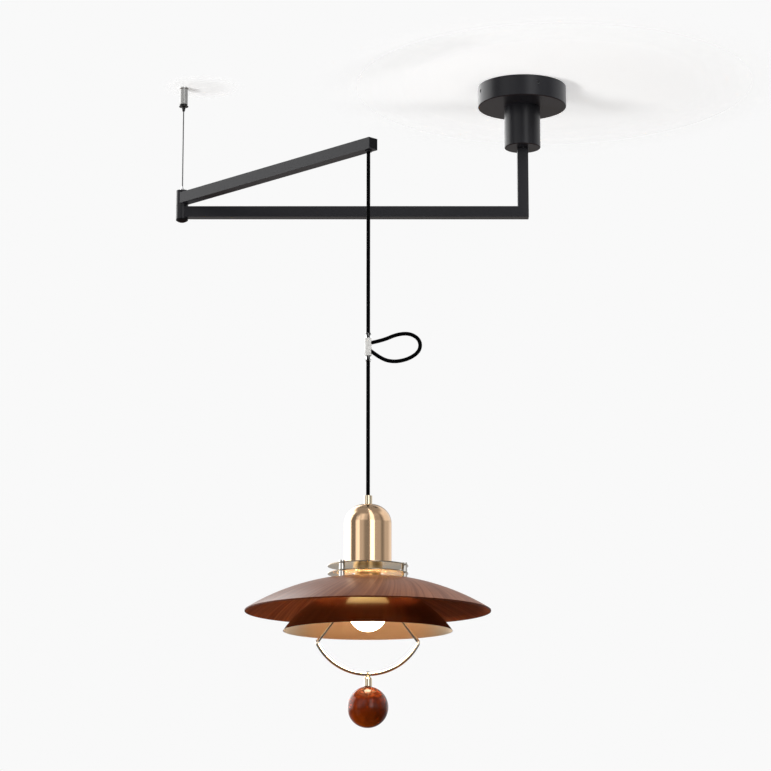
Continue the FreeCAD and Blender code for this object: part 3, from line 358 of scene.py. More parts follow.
def plated_group():
    """Polished plating: faint smudges and hairline marks."""
    group, source, result = surface_group("Plated surface", PLAIN_INPUTS)
    smudge = noise(group, source["Vector"], 38.0, 4.0, 0.6)
    hair = noise(group, scaled(group, source["Vector"], 1800.0, 240.0, 900.0), 1.0, 3.0, 0.65)
    return close_plain(group, source, result, smudge, weighed(group, hair, smudge, 0.35), hair)


def turned_group():
    """Metal brushed on a lathe: fine lines round an upright axis."""
    inputs = PLAIN_INPUTS + [("Centre", "vector", (0.0, 0.0, 0.0)), ("Lines", "value", 5200.0)]
    group, source, result = surface_group("Turned surface", inputs)
    local, flat, radius, level = about_axis(group, source["Vector"], source["Centre"])
    climb = product(group, maths(group, "ADD", level, radius), source["Lines"])
    line = noise(group, round_and_along(group, flat, 1.0, climb), 1.0, 3.0, 0.7)
    cloud = noise(group, local, 30.0)
    return close_plain(group, source, result, weighed(group, line, cloud, 0.75), line, line)


def wood_group():
    """Wood figure: broad bands, dark grain lines and short pores along the vector's Z."""
    inputs = [
        ("Vector", "vector", (0.0, 0.0, 0.0)),
        ("Light", "colour", (0.3, 0.15, 0.1, 1.0)),
        ("Middle", "colour", (0.2, 0.1, 0.05, 1.0)),
        ("Dark", "colour", (0.05, 0.02, 0.01, 1.0)),
        ("Roughness", "value", 0.4),
        ("Line weight", "value", 0.6),
        ("Pore weight", "value", 0.5),
    ]
    group, source, result = surface_group("Wood figure", inputs)
    vector = source["Vector"]
    band = noise(group, scaled(group, vector, 0.35, 0.35, 0.5), 1.0, 3.0, 0.55)
    line = noise(group, scaled(group, vector, 1.6, 1.6, 0.7), 1.0, 4.0, 0.6)
    pore = noise(group, scaled(group, vector, 7.0, 7.0, 5.0), 1.0, 2.0, 0.5)
    ground = mixed(group, remap(group, band, 0.34, 0.66), source["Light"], source["Middle"])
    streak = product(group, remap(group, line, 0.50, 0.68), source["Line weight"])
    speck = product(group, remap(group, pore, 0.56, 0.70), source["Pore weight"])
    depth = maths(group, "MAXIMUM", streak, speck)
    shown = mixed(group, depth, ground, source["Dark"])
    rough = maths(group, "MULTIPLY_ADD", depth, 0.12, source["Roughness"])
    height = maths(group, "SUBTRACT", 1.0, speck)
    return close_group(group, result, shown, rough, height)


def braid_group():
    """Yarn of the braided cord from its own length and turn in the UV map."""
    inputs = PLAIN_INPUTS + [("Threads", "value", 5.0)]
    group, source, result = surface_group("Braided yarn", inputs)
    apart = add(group, "SeparateXYZ", {0: source["Vector"]}).outputs
    right = maths(group, "ADD", apart[0], apart[1])
    left = maths(group, "SUBTRACT", apart[0], apart[1])
    parity = maths(group, "ADD", maths(group, "FLOOR", right), maths(group, "FLOOR", left))
    over = maths(group, "PINGPONG", parity, 1.0)
    under = maths(group, "SUBTRACT", 1.0, over)
    across = maths(group, "MULTIPLY_ADD", right, over, product(group, left, under))
    thread = maths(group, "PINGPONG", product(group, across, source["Threads"]), 0.5)
    thread = product(group, thread, 2.0)
    fuzz = noise(group, source["Vector"], 9.0, 3.0, 0.6)
    return close_plain(group, source, result, weighed(group, thread, fuzz, 0.6), fuzz, thread)


GROUP_MAKERS = {
    "Coated surface": coated_group,
    "Plated surface": plated_group,
    "Turned surface": turned_group,
    "Wood figure": wood_group,
    "Braided yarn": braid_group,
}


def placed_group(tree, name, sockets):
    """A shared group in a material, made on first use."""
    group = bpy.data.node_groups.get(name) or GROUP_MAKERS[name]()
    return add(tree, "Group", sockets, node_tree=group).outputs


def new_material(name, plain):
    """A material with its Principled shader, and the shader's constant values."""
    material = bpy.data.materials.new(name)
    material.use_nodes = True
    shader = material.node_tree.nodes["Principled BSDF"]
    for key, value in plain.items():
        shader.inputs[key].default_value = value
    return material, material.node_tree, shader


def bare_material(name):
    """A material with no shader yet."""
    material = bpy.data.materials.new(name)
    material.use_nodes = True
    material.node_tree.nodes.clear()
    return material, material.node_tree


def emboss(tree, shader, height, strength, depth):
    """Relief from a height that changes over the surface."""
    relief = add(tree, "Bump", {"Strength": strength, "Distance": depth, "Height": height})
    tree.links.new(relief.outputs[0], shader.inputs["Normal"])


def finish(name, effect, values, bump, depth, vector=place_on, **plain):
    """A material whose colour, roughness and relief come from one shared effect."""
    sockets = {key.replace("_", " "): value for key, value in plain.items()}
    material, tree, shader = new_material(name, sockets)
    made = placed_group(tree, effect, {"Vector": vector(tree), **values})
    tree.links.new(made["Color"], shader.inputs["Base Color"])
    tree.links.new(made["Roughness"], shader.inputs["Roughness"])
    emboss(tree, shader, made["Height"], bump, depth)
    return material


def uv_vector(tree):
    """The piece's own UV map."""
    return add(tree, "TexCoord").outputs["UV"]


# Grain of the shade: radians of sweep a metre, and how fine it is round the axis, upwards and outwards
GRAIN_SWEEP, GRAIN_ROUND, GRAIN_UP, GRAIN_OUT = 2.2, 60.0, 6.0, 9.0


def radial_grain(tree):
    """Grain that runs from the top of the shade to its rim, with a slight sweep."""
    _, flat, radius, level = about_axis(tree, place_on(tree), LAMP)
    turn = product(tree, radius, GRAIN_SWEEP)
    swept = add(tree, "VectorRotate", {"Vector": flat, "Angle": turn}, rotation_type="Z_AXIS").outputs[0]
    along = maths(tree, "MULTIPLY_ADD", level, GRAIN_UP, product(tree, radius, GRAIN_OUT))
    return round_and_along(tree, swept, GRAIN_ROUND, along)


def ball_grain(tree):
    """Straight grain through the pull ball, leaning a little from upright."""
    sockets = {"Vector": place_on(tree), "Rotation": (0.35, 0.5, 0.0), "Scale": (150.0, 150.0, 22.0)}
    return add(tree, "Mapping", sockets).outputs[0]


# Pieces


def wear(material, *nodes):
    """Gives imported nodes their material."""
    for node in nodes:
        mesh = frame["nodes"][node].data
        mesh.materials.clear()
        mesh.materials.append(material)


def new_piece(name, mesh, body, materials, nodes=()):
    """A new piece that rides on a body and stands for the nodes."""
    piece = bpy.data.objects.new(name, mesh)
    bpy.context.scene.collection.objects.link(piece)
    for material in materials:
        mesh.materials.append(material)
    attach(piece, body)
    if nodes:
        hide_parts(*nodes)
    return piece


def made_mesh(work, name):
    """The mesh of finished work."""
    mesh = bpy.data.meshes.new(name)
    work.to_mesh(mesh)
    work.free()
    return mesh


# Angles between faces: joined under the first, rounded over the second, shaded sharp over the others
FLAT_ANGLE, HARD_ANGLE = math.radians(0.02), math.radians(32)
SHARP_ANGLE, TURNED_SHARP_ANGLE = math.radians(28), math.radians(35)


def soften(node, materials, width=None, segments=2, choose=None, seam=None):
    """Stands for a node with the same shape whose hard edges are rounded."""
    work = bmesh.new()
    work.from_mesh(frame["nodes"][node].data)
    bmesh.ops.remove_doubles(work, verts=work.verts, dist=1e-6)
    bmesh.ops.dissolve_limit(work, angle_limit=FLAT_ANGLE, verts=work.verts, edges=work.edges)
    hard = [edge for edge in work.edges
            if edge.is_manifold and edge.calc_face_angle(0.0) > HARD_ANGLE]
    if seam:
        hard = [edge for edge in hard if not any(seam(face.normal) for face in edge.link_faces)]
    bmesh.ops.bevel(work, geom=hard, offset=width or sizes().edge, segments=segments, affect="EDGES",
                    profile=0.5, clamp_overlap=True)
    for face in work.faces:
        face.smooth = True
        if choose:
            face.material_index = choose(face)
    mesh = made_mesh(work, "soft_" + node)
    mesh.set_sharp_from_angle(angle=SHARP_ANGLE)
    weigh_normals(mesh)
    new_piece("soft_" + node, mesh, frame["nodes"][node]["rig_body"], materials, [node])


def weigh_normals(mesh):
    """Normals that follow the large faces, so that a rounded edge leaves the flat beside it flat."""
    sharp = {edge.key for edge in mesh.edges if edge.use_edge_sharp}
    work = bmesh.new()
    work.from_mesh(mesh)
    work.faces.ensure_lookup_table()
    normals = [None] * len(mesh.loops)
    for vertex in work.verts:
        for fan in smooth_fans(vertex, sharp):
            total = Vector()
            for loop in fan:
                total += loop.face.normal * loop.face.calc_area() * loop.calc_angle()
            for loop in fan:
                start = mesh.polygons[loop.face.index].loop_start
                normals[start + list(loop.face.loops).index(loop)] = total.normalized()
    work.free()
    mesh.normals_split_custom_set(normals)


def smooth_fans(vertex, sharp):
    """Corners round a vertex, in groups that no sharp edge parts."""
    left = list(vertex.link_loops)
    fans = []
    while left:
        fan, wave = [], [left.pop()]
        while wave:
            loop = wave.pop()
            fan.append(loop)
            for edge in (loop.edge, loop.link_loop_prev.edge):
                if tuple(sorted(vert.index for vert in edge.verts)) in sharp:
                    continue
                near = [other for other in left if other.face in edge.link_faces]
                for other in near:
                    left.remove(other)
                wave.extend(near)
        fans.append(fan)
    return fans


def mitred(normal):
    """Whether a face is the slanting cut where two tubes are welded."""
    return abs(normal.y) < 0.1 and abs(abs(normal.x) - abs(normal.z)) < 0.05


def route_points(points, steps):
    """Points along a smooth spline whose control points are the route's."""
    curve = bpy.data.curves.new("route", "CURVE")
    curve.dimensions = "3D"
    curve.resolution_u = steps
    spline = curve.splines.new("NURBS")
    spline.points.add(len(points) - 1)
    for point, place in zip(spline.points, points):
        point.co = (*place, 1.0)
    spline.order_u = 3
    spline.use_endpoint_u = True
    holder = bpy.data.objects.new("route", curve)
    mesh = bpy.data.meshes.new_from_object(holder)
    path = [vertex.co.copy() for vertex in mesh.vertices]
    bpy.data.objects.remove(holder)
    bpy.data.meshes.remove(mesh)
    return path


def distances(path):
    """Length of a path up to each of its points."""
    reach = [0.0]
    for before, after in zip(path, path[1:]):
        reach.append(reach[-1] + (after - before).length)
    return reach


def direction(path, index):
    """Direction of a path at one of its points."""
    before = path[max(index - 1, 0)]
    after = path[min(index + 1, len(path) - 1)]
    return (after - before).normalized()


def sweep(name, path, sides, radius_at, uv_scale=None):
    """A round tube along a path that lies near an XZ plane, with rounded closed ends."""
    work = bmesh.new()
    reach = distances(path)
    rings = []
    for index, centre in enumerate(path):
        ahead = direction(path, index)
        side = Vector((0.0, 1.0, 0.0))
        up = ahead.cross(side).normalized()
        ring = []
        for step in range(sides):
            turn = 2 * math.pi * step / sides
            radius = radius_at(reach[index], turn)
            ring.append(work.verts.new(centre + (side * math.cos(turn) + up * math.sin(turn)) * radius))
        rings.append(ring)
    layer = work.loops.layers.uv.new("UVMap") if uv_scale else None
    for index in range(len(rings) - 1):
        for step in range(sides):
            after = (step + 1) % sides
            face = work.faces.new((rings[index][step], rings[index + 1][step],
                                   rings[index + 1][after], rings[index][after]))
            face.smooth = True
            if layer:
                spots = ((index, step), (index + 1, step), (index + 1, step + 1), (index, step + 1))
                for loop, (row, column) in zip(face.loops, spots):
                    loop[layer].uv = (reach[row] * uv_scale[0], column / sides * uv_scale[1])
    for ring, centre, out in ((rings[0], path[0], -direction(path, 0)),
                              (rings[-1], path[-1], direction(path, len(path) - 1))):
        close_end(work, ring, centre, out)
    bmesh.ops.recalc_face_normals(work, faces=work.faces)
    return made_mesh(work, name)


# Rings of a tube's closed end: shares of the tube's radius and of the end's height
END_RINGS = ((0.72, 0.62), (0.38, 0.88))
END_HEIGHT = 0.45


def close_end(work, ring, centre, out):
    """A low round cap on the end of a tube."""
    radius = sum((vertex.co - centre).length for vertex in ring) / len(ring)
    last = ring
    for inset, rise in END_RINGS:
        lift = out * radius * rise * END_HEIGHT
        inner = [work.verts.new(centre + (vertex.co - centre) * inset + lift) for vertex in ring]
        for step in range(len(ring)):
            after = (step + 1) % len(ring)
            work.faces.new((last[step], last[after], inner[after], inner[step])).smooth = True
        last = inner
    work.faces.new(last).smooth = True


def turned_mesh(name, outline, centre, sides):
    """A closed outline of (radius, level) turned round an upright axis."""
    work = bmesh.new()
    rings = []
    for radius, level in outline:
        ring = []
        for step in range(sides):
            turn = 2 * math.pi * step / sides
            place = (centre.x + radius * math.cos(turn), centre.y + radius * math.sin(turn), level)
            ring.append(work.verts.new(place))
        rings.append(ring)
    for index in range(len(rings)):
        first, second = rings[index], rings[(index + 1) % len(rings)]
        for step in range(sides):
            after = (step + 1) % sides
            work.faces.new((first[step], first[after], second[after], second[step])).smooth = True
    bmesh.ops.recalc_face_normals(work, faces=work.faces)
    mesh = made_mesh(work, name)
    mesh.set_sharp_from_angle(angle=TURNED_SHARP_ANGLE)
    return mesh


# Depth of relief in metres: paint, plating, plastic and varnish; then wood, yarn and clear plastic
FINE_RELIEF, COARSE_RELIEF = 0.0001, 0.0002


def plain_values(shade, roughness, contrast, spread, **others):
    """Values for a group with plain inputs."""
    return {"Color": shade, "Roughness": roughness, "Contrast": contrast, "Rough spread": spread, **others}


def black_coat():
    """Satin powder coat."""
    values = plain_values(finishes().coat, 0.34, 0.35, 0.10)
    return finish("Satin black coat", "Coated surface", values, 0.06, FINE_RELIEF, Specular_IOR_Level=0.28)


def moulded(name, shade, roughness, contrast=0.25, gloss=0.5):
    """Moulded plastic."""
    values = plain_values(shade, roughness, contrast, 0.12, Grain=1400.0)
    return finish(name, "Coated surface", values, 0.06, FINE_RELIEF, Specular_IOR_Level=gloss)


def plated(name, shade, roughness, contrast=0.10, spread=0.08):
    """Polished plated metal."""
    values = plain_values(shade, roughness, contrast, spread)
    return finish(name, "Plated surface", values, 0.015, FINE_RELIEF, Metallic=1.0)


def turned_metal(name, shade, roughness, contrast=0.12, centre=LAMP, metallic=1.0):
    """Metal turned or brushed round an upright axis."""
    values = plain_values(shade, roughness, contrast, 0.08, Centre=centre)
    return finish(name, "Turned surface", values, 0.04, FINE_RELIEF, Metallic=metallic)


def wood(name, tones, roughness, bump, gloss, weights=(0.6, 0.5), depth=COARSE_RELIEF, grain=radial_grain):
    """Wood in a light, a middle and a dark tone; the weights are those of grain lines and pores."""
    values = dict(zip(("Light", "Middle", "Dark", "Line weight", "Pore weight"), (*tones, *weights)))
    values["Roughness"] = roughness
    return finish(name, "Wood figure", values, bump, depth, grain, Specular_IOR_Level=gloss)


class PENDANT_OT_frame(bpy.types.Operator):
    """Black canopy, swivel housing, square tubes and elbow"""

    bl_idname = "pendant.frame"
    bl_label = "Canopy and arms"

    def execute(self, context):
        coat = black_coat()
        plastic = finishes().plastic
        plug = moulded("Black end plug", plastic, 0.46, gloss=0.06)
        wear(coat, "canopy_cup", "swivel_housing")
        for node in ("drop_tube", "lower_arm_tube", "upper_arm_tube"):
            soften(node, [coat], sizes().tube_edge, 3, seam=mitred)
        for node in ("elbow_knuckle_lower", "elbow_knuckle_upper", "elbow_pin"):
            soften(node, [coat])
        soften("upper_arm_end_cap", [plug])
        wear(plug, "elbow_bottom_cap")
        wear(moulded("Sliding washer", (0.03, 0.03, 0.03), 0.5), "elbow_washer")
        wear(plated("Blackened screw", (0.045, 0.045, 0.048), 0.32), "canopy_side_screws")
        wear(moulded("Black bush", plastic, 0.28), "cord_exit_bush")
        return {"FINISHED"}


class PENDANT_OT_inner_works(bpy.types.Operator):
    """Bracket, terminal block, spindle, nuts and lamp holder"""

    bl_idname = "pendant.inner_works"
    bl_label = "Inner works"

    def execute(self, context):
        zinc = plated("Zinc plated steel", (0.56, 0.57, 0.58), 0.34, contrast=0.25, spread=0.16)
        wear(zinc, "ceiling_bracket", "housing_locknut", "swivel_spindle", "spindle_washer", "spindle_nut",
             "nipple_tube", "cap_locknut", "ball_stud")
        bronze = turned_metal("Oiled bronze", (0.15, 0.10, 0.06), 0.42, centre=(0.0, 0.0, 0.0))
        wear(bronze, "swivel_bush", "gripper_collet")
        wear(moulded("Terminal plastic", (0.78, 0.75, 0.68), 0.45), "terminal_block")
        holder = turned_metal("Satin brass holder", (0.72, 0.52, 0.28), 0.30, contrast=0.2)
        wear(holder, "lamp_holder", "disc_ring", "gallery_ring")
        return {"FINISHED"}


class PENDANT_OT_suspension(bpy.types.Operator):
    """Stranded wire, its ferrule and the ceiling gripper"""

    bl_idname = "pendant.suspension"
    bl_label = "Wire and gripper"

    outer_strands = 6
    strand_sides = 8
    wire_steps = 70

    def execute(self, context):
        edge = sizes().edge
        silver = turned_metal("Satin anchor metal", (0.45, 0.45, 0.44), 0.50, contrast=0.2, centre=ELBOW)
        flange = turned_metal("Bright anchor flange", (0.80, 0.80, 0.79), 0.25, centre=ELBOW)
        soften("anchor_body", [silver])
        soften("anchor_base", [flange])
        soften("gripper_nozzle", [moulded("Black nozzle", finishes().plastic, 0.30)], edge * 2, 3)
        soften("wire_ferrule", [plated("Chromed ferrule", (0.84, 0.84, 0.85), 0.12)], edge * 0.75)
        self.lay_wire(sizes())
        return {"FINISHED"}

    def lay_wire(self, size):
        """One strand in the middle and the others laid round it."""
        steel = plated("Drawn steel strand", (0.17, 0.17, 0.17), 0.34, contrast=0.3, spread=0.1)
        low, high = foot("suspension_wire"), top("suspension_wire")
        route = [Vector((ELBOW.x, 0.0, level)) for level in (low, (low + high) / 2, high)]
        path = route_points(route, self.wire_steps)
        reach = distances(path)
        whole = bmesh.new()
        for number in range(self.outer_strands + 1):
            out = size.strand if number < self.outer_strands else 0.0
            strand = []
            for centre, run in zip(path, reach):
                turn = 2 * math.pi * (run / size.lay + number / self.outer_strands)
                strand.append(centre + Vector((math.cos(turn), math.sin(turn), 0.0)) * out)
            tube = sweep("strand", strand, self.strand_sides, lambda run, turn: size.strand / 2)
            whole.from_mesh(tube)
            bpy.data.meshes.remove(tube)
        mesh = made_mesh(whole, "wire_strands")
        new_piece("wire_strands", mesh, "lower_arm", [steel], ["suspension_wire"])


ADJUSTER_PIECES = ("adjuster_sleeve", "adjuster_collar_top", "adjuster_collar_foot")


class PENDANT_OT_cord(bpy.types.Operator):
    """Braided cord: the upper run, the slack loop and the lower run"""

    bl_idname = "pendant.cord"
    bl_label = "Braided cord"

    carriers = 12
    sides = 48
    # How far a run reaches into the adjuster, in metres
    inside = 0.0088

    def execute(self, context):
        values = plain_values(finishes().braid, 0.62, 1.0, 0.2)
        yarn = finish("Braided black yarn", "Braided yarn", values, 0.5, COARSE_RELIEF, uv_vector,
                      Specular_IOR_Level=0.03, Sheen_Weight=0.005, Sheen_Roughness=0.4)
        high, low, nipple = top("cord_adjuster"), foot("cord_adjuster"), top("cord_nipple")
        upper = self.upright(CORD_PIVOT, (CORD_PIVOT + high) / 2, high - self.inside)
        lower = self.upright(low + self.inside, (low + nipple) / 2, nipple)
        loop = [(LAMP.x + across, LAMP.y, ADJUSTER_MIDDLE + rise) for across, rise in LOOP_ROUTE]
        sleeve = [bpy.data.objects[name] for name in ADJUSTER_PIECES]
        self.lay("cord_upper_run", upper, 330, yarn, "pendant_cord_upper", "fitting", "hanging", sleeve)
        self.lay("cord_slack_loop", loop, 44, yarn, "cord_loop", "object", "loose")
        self.lay("cord_lower_run", lower, 240, yarn, "pendant_cord_lower", "object", "hanging")
        return {"FINISHED"}

    def upright(self, *levels):
        """Points on the hanging cord's axis."""
        return [(LAMP.x, LAMP.y, level) for level in levels]

    def lay(self, name, route, steps, yarn, node, far_end, lay, fittings=()):
        """One run of cord along its route."""
        size = sizes()
        path = route_points([Vector(point) for point in route], steps)
        mesh = sweep(name, path, self.sides, self.braided(size), (1.0 / size.yarn, self.carriers))
        piece = new_piece(name, mesh, "cord", [yarn], [node])

    def braided(self, size):
        """Radius of the cord with its crossing yarns."""
        def radius(run, turn):
            along, around = run / size.yarn, turn / (2 * math.pi) * self.carriers
            right, left = along + around, along - around
            over = (math.floor(right) + math.floor(left)) % 2
            across, down = (right, left) if over else (left, right)
            crown = math.sin(math.pi * (across % 1.0)) * (0.6 + 0.4 * math.sin(math.pi * (down % 1.0)))
            return size.cord / 2 - size.relief * (1.0 - crown)
        return radius


class PENDANT_OT_adjuster(bpy.types.Operator):
    """Cord adjuster: white sleeve with clear collars"""

    bl_idname = "pendant.adjuster"
    bl_label = "Cord adjuster"

    def execute(self, context):
        high, low = top("cord_adjuster"), foot("cord_adjuster")
        sleeve_name, top_name, foot_name = ADJUSTER_PIECES
        # Radii, lengths and small edges in metres
        wide, narrow, bore, core = 0.0050, 0.0036, 0.0031, 0.0012
        collar, taper = 0.0086, 0.0050
        chamfer, bevel, play = 0.0004, 0.0003, 0.0001
        white = moulded("White sleeve", (0.97, 0.96, 0.93), 0.22, contrast=0.04)
        clear, tree, shader = new_material("Clear collar", {
            "Base Color": (0.97, 0.98, 0.98, 1.0), "Roughness": 0.04,
            "IOR": 1.45, "Transmission Weight": 1.0})
        emboss(tree, shader, noise(tree, place_on(tree), 420.0), 0.12, COARSE_RELIEF)
        upper, lower = high - collar, low + collar
        outline = [(core, upper), (wide - chamfer, upper), (wide, upper - chamfer),
                   (wide, lower + chamfer), (wide - chamfer, lower), (core, lower)]
        self.turn(sleeve_name, outline, white, ["cord_adjuster"])
        for name, end, way in ((top_name, high, -1.0), (foot_name, low, 1.0)):
            inner = end + way * (collar - play)
            outline = [(bore, end), (narrow - bevel, end), (narrow, end + way * bevel),
                       (wide - play, end + way * taper), (wide - play, inner), (bore, inner)]
            self.turn(name, outline, clear)
        return {"FINISHED"}

    def turn(self, name, outline, material, nodes=()):
        """One turned piece on the cord."""
        mesh = turned_mesh(name, outline, LAMP, 64)
        new_piece(name, mesh, "cord", [material], nodes)


class PENDANT_OT_cap(bpy.types.Operator):
    """Spun cap, cord nipple, discs and their bolts"""

    bl_idname = "pendant.cap"
    bl_label = "Cap and discs"

    def execute(self, context):
        tone = finishes()
        soften("cap_shell", [turned_metal("Spun champagne", tone.champagne, 0.14, contrast=0.16)])
        soften("cord_nipple", [plated("Pale brass nipple", tone.brass, 0.16)])
        plate = plated("Satin disc", tone.plate, 0.20, contrast=0.06)
        # The rims are plated darker than the flat faces: a painted dark reflection along the discs' edges
        rim = plated("Disc rim", (0.24, 0.20, 0.15), 0.24, contrast=0.06)
        for node in ("upper_disc", "lower_disc"):
            soften(node, [plate, rim], sizes().edge * 0.8, choose=self.side)
        chrome = plated("Bright chrome", (0.56, 0.54, 0.51), 0.08)
        for node in ("disc_spacers", "disc_bolts", "disc_bolt_nuts"):
            soften(node, [chrome])
        return {"FINISHED"}

    def side(self, face):
        """The second material on a disc's upright faces, the first on its flat ones."""
        return 1 if abs(face.normal.z) < 0.5 else 0


class PENDANT_OT_shade(bpy.types.Operator):
    """Walnut shade with its grain"""

    bl_idname = "pendant.shade"
    bl_label = "Walnut shade"

    # Painted glow, gold painted on the wood where the bulb's light falls: reach from the axis in metres,
    # and spread to the sides, which is all round where over 1
    painted_glow_above = (0.057, 2.0)
    painted_glow_below = (0.084, 0.47)
    # Width of the stained rim and of its rounded edge, in metres
    rim_width, rim_edge = 0.0016, 0.0007

    def execute(self, context):
        tone = finishes()
        oiled = wood("Oiled walnut", (tone.walnut_light, tone.walnut_mid, tone.walnut_dark),
                     roughness=0.30, bump=0.08, gloss=0.32)
        # The underside's tones are darker than the outside's partly as painted shade
        matt = wood("Matt walnut", (tone.shaded_inner_light, tone.shaded_inner_mid, tone.shaded_inner_dark),
                    roughness=0.70, bump=0.10, gloss=0.05)
        edge = wood("Stained edge", (tone.shaded_inner_dark, tone.shaded_inner_dark, tone.edge),
                    roughness=0.50, bump=0.08, gloss=0.10)
        # Gold painted round the lamp holder, above and below, as the bulb's glow: painted light
        self.painted_glow(oiled, *self.painted_glow_above)
        self.painted_glow(matt, *self.painted_glow_below)
        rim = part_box("wood_shade")[1][0] - LAMP.x

        def side(face):
            reach = (face.calc_center_median() - LAMP).xy.length
            if reach > rim - self.rim_width and face.normal.z < 0.3:
                return 2
            return 1 if face.normal.z < -0.2 else 0

        soften("wood_shade", [oiled, matt, edge], self.rim_edge, 3, side)
        return {"FINISHED"}

    def painted_glow(self, material, reach, spread):
        """Painted glow: gold painted on the wood round the lamp holder where the bulb's light falls, to
        front and back or all round.
        """
        tree = material.node_tree
        base = tree.nodes["Principled BSDF"].inputs["Base Color"]
        _, flat, radius, _ = about_axis(tree, place_on(tree), LAMP)
        aside = add(tree, "SeparateXYZ", {0: vectors(tree, "NORMALIZE", flat)}).outputs[0]
        patch = remap(tree, maths(tree, "ABSOLUTE", aside), spread - 0.02, spread + 0.01, 1.0, 0.0)
        mask = product(tree, remap(tree, radius, reach - 0.001, reach, 1.0, 0.0), patch)
        bare = base.links[0].from_socket
        tree.links.new(mixed(tree, mask, bare, finishes().painted_glow), base)


class PENDANT_OT_reflector(bpy.types.Operator):
    """Bronze reflector with its bright lining, and the gallery that carries it"""

    bl_idname = "pendant.reflector"
    bl_label = "Reflector"

    # A point this far under the reflector sees its lining from every side
    heart_drop = 0.05

    def execute(self, context):
        tone = finishes()
        outside = turned_metal("Satin bronze", tone.bronze, 0.22)
        lining = turned_metal("Bright lining", tone.lining, 0.35, metallic=0.95)
        heart = Vector((LAMP.x, LAMP.y, foot("inner_reflector") - self.heart_drop))

        def side(face):
            return 0 if (face.calc_center_median() - heart).dot(face.normal) > 0.0 else 1

        soften("inner_reflector", [outside, lining], choose=side)
        plate = plated("Gallery plate", tone.plate, 0.34)
        for node in ("reflector_gallery", "gallery_rivets"):
            soften(node, [plate], sizes().edge * 0.7)
        return {"FINISHED"}


class PENDANT_OT_bulb(bpy.types.Operator):
    """Lit opal bulb and its base"""

    bl_idname = "pendant.bulb"
    bl_label = "Bulb"

    # Levels over the bulb's foot in metres, and shares of the full strength
    shoulder_from, shoulder_to, foot_share = 0.028, 0.048, 0.13
    collar_from, collar_to, collar_share = 0.0545, 0.0570, 0.02

    def execute(self, context):
        wear(turned_metal("Bulb base", (0.70, 0.70, 0.69), 0.28, contrast=0.3), "bulb_base")
        opal, tree, shader = new_material("Lit opal glass", {
            "Base Color": (0.93, 0.91, 0.86, 1.0), "Roughness": 0.18, "Emission Strength": studio().bulb})
        place = place_on(tree)
        level = add(tree, "SeparateXYZ", {0: place}).outputs[2]
        rise = maths(tree, "SUBTRACT", level, foot("bulb_glass"))
        shoulder = remap(tree, rise, self.shoulder_from, self.shoulder_to, self.foot_share, 1.0)
        collar = remap(tree, rise, self.collar_from, self.collar_to, 1.0, self.collar_share)
        cloud = maths(tree, "MULTIPLY_ADD", noise(tree, place, 60.0), 0.1, 0.95)
        lit = times(tree, finishes().glow, product(tree, shoulder, collar, cloud))
        tree.links.new(lit, shader.inputs["Emission Color"])
        wear(opal, "bulb_glass")
        return {"FINISHED"}


class PENDANT_OT_handle(bpy.types.Operator):
    """Bow handle, its nuts, the ferrule and the wooden pull ball"""

    bl_idname = "pendant.handle"
    bl_label = "Bow handle and ball"

    def execute(self, context):
        tone = finishes()
        wear(plated("Drawn brass rod", (0.86, 0.79, 0.66), 0.14), "bow_handle")
        soften("bow_nuts", [plated("Pale brass", tone.brass, 0.13)])
        soften("ball_ferrule", [turned_metal("Turned brass", tone.brass, 0.16)])
        between = tuple((light + dark) / 2 for light, dark in zip(tone.ball_light, tone.ball_dark))
        varnished = wood("Varnished ball wood", (tone.ball_light, between, tone.ball_dark), roughness=0.13,
                         bump=0.01, gloss=0.28, weights=(0.30, 0.06), depth=FINE_RELIEF, grain=ball_grain)
        wear(varnished, "pull_ball")
        return {"FINISHED"}


# Camera fitted to the photo: lens and sensor in millimetres, place in metres, tilt in degrees
LENS, SENSOR = 126.673, 36.0
CAMERA_PLACE, CAMERA_TILT = (-0.217127, -4.141387, -1.316298), 101.37

# Soft lights: name, studio setting of the power, place, aim, width and height in metres
SOFT_LIGHTS = (
    ("key_softbox", "key", (-1.25, -0.75, -1.6), (-0.1, -0.1, -0.3), 0.5, 0.5),
    ("fill_softbox", "fill", (1.9, -3.1, -0.4), (-0.24, -0.3, -0.7), 1.2, 1.8),
    ("top_softbox", "crown", (1.25, -0.6, 1.95), (-0.24, -0.3, -0.7), 1.6, 1.6),
)

WHITE = (1.0, 1.0, 1.0)


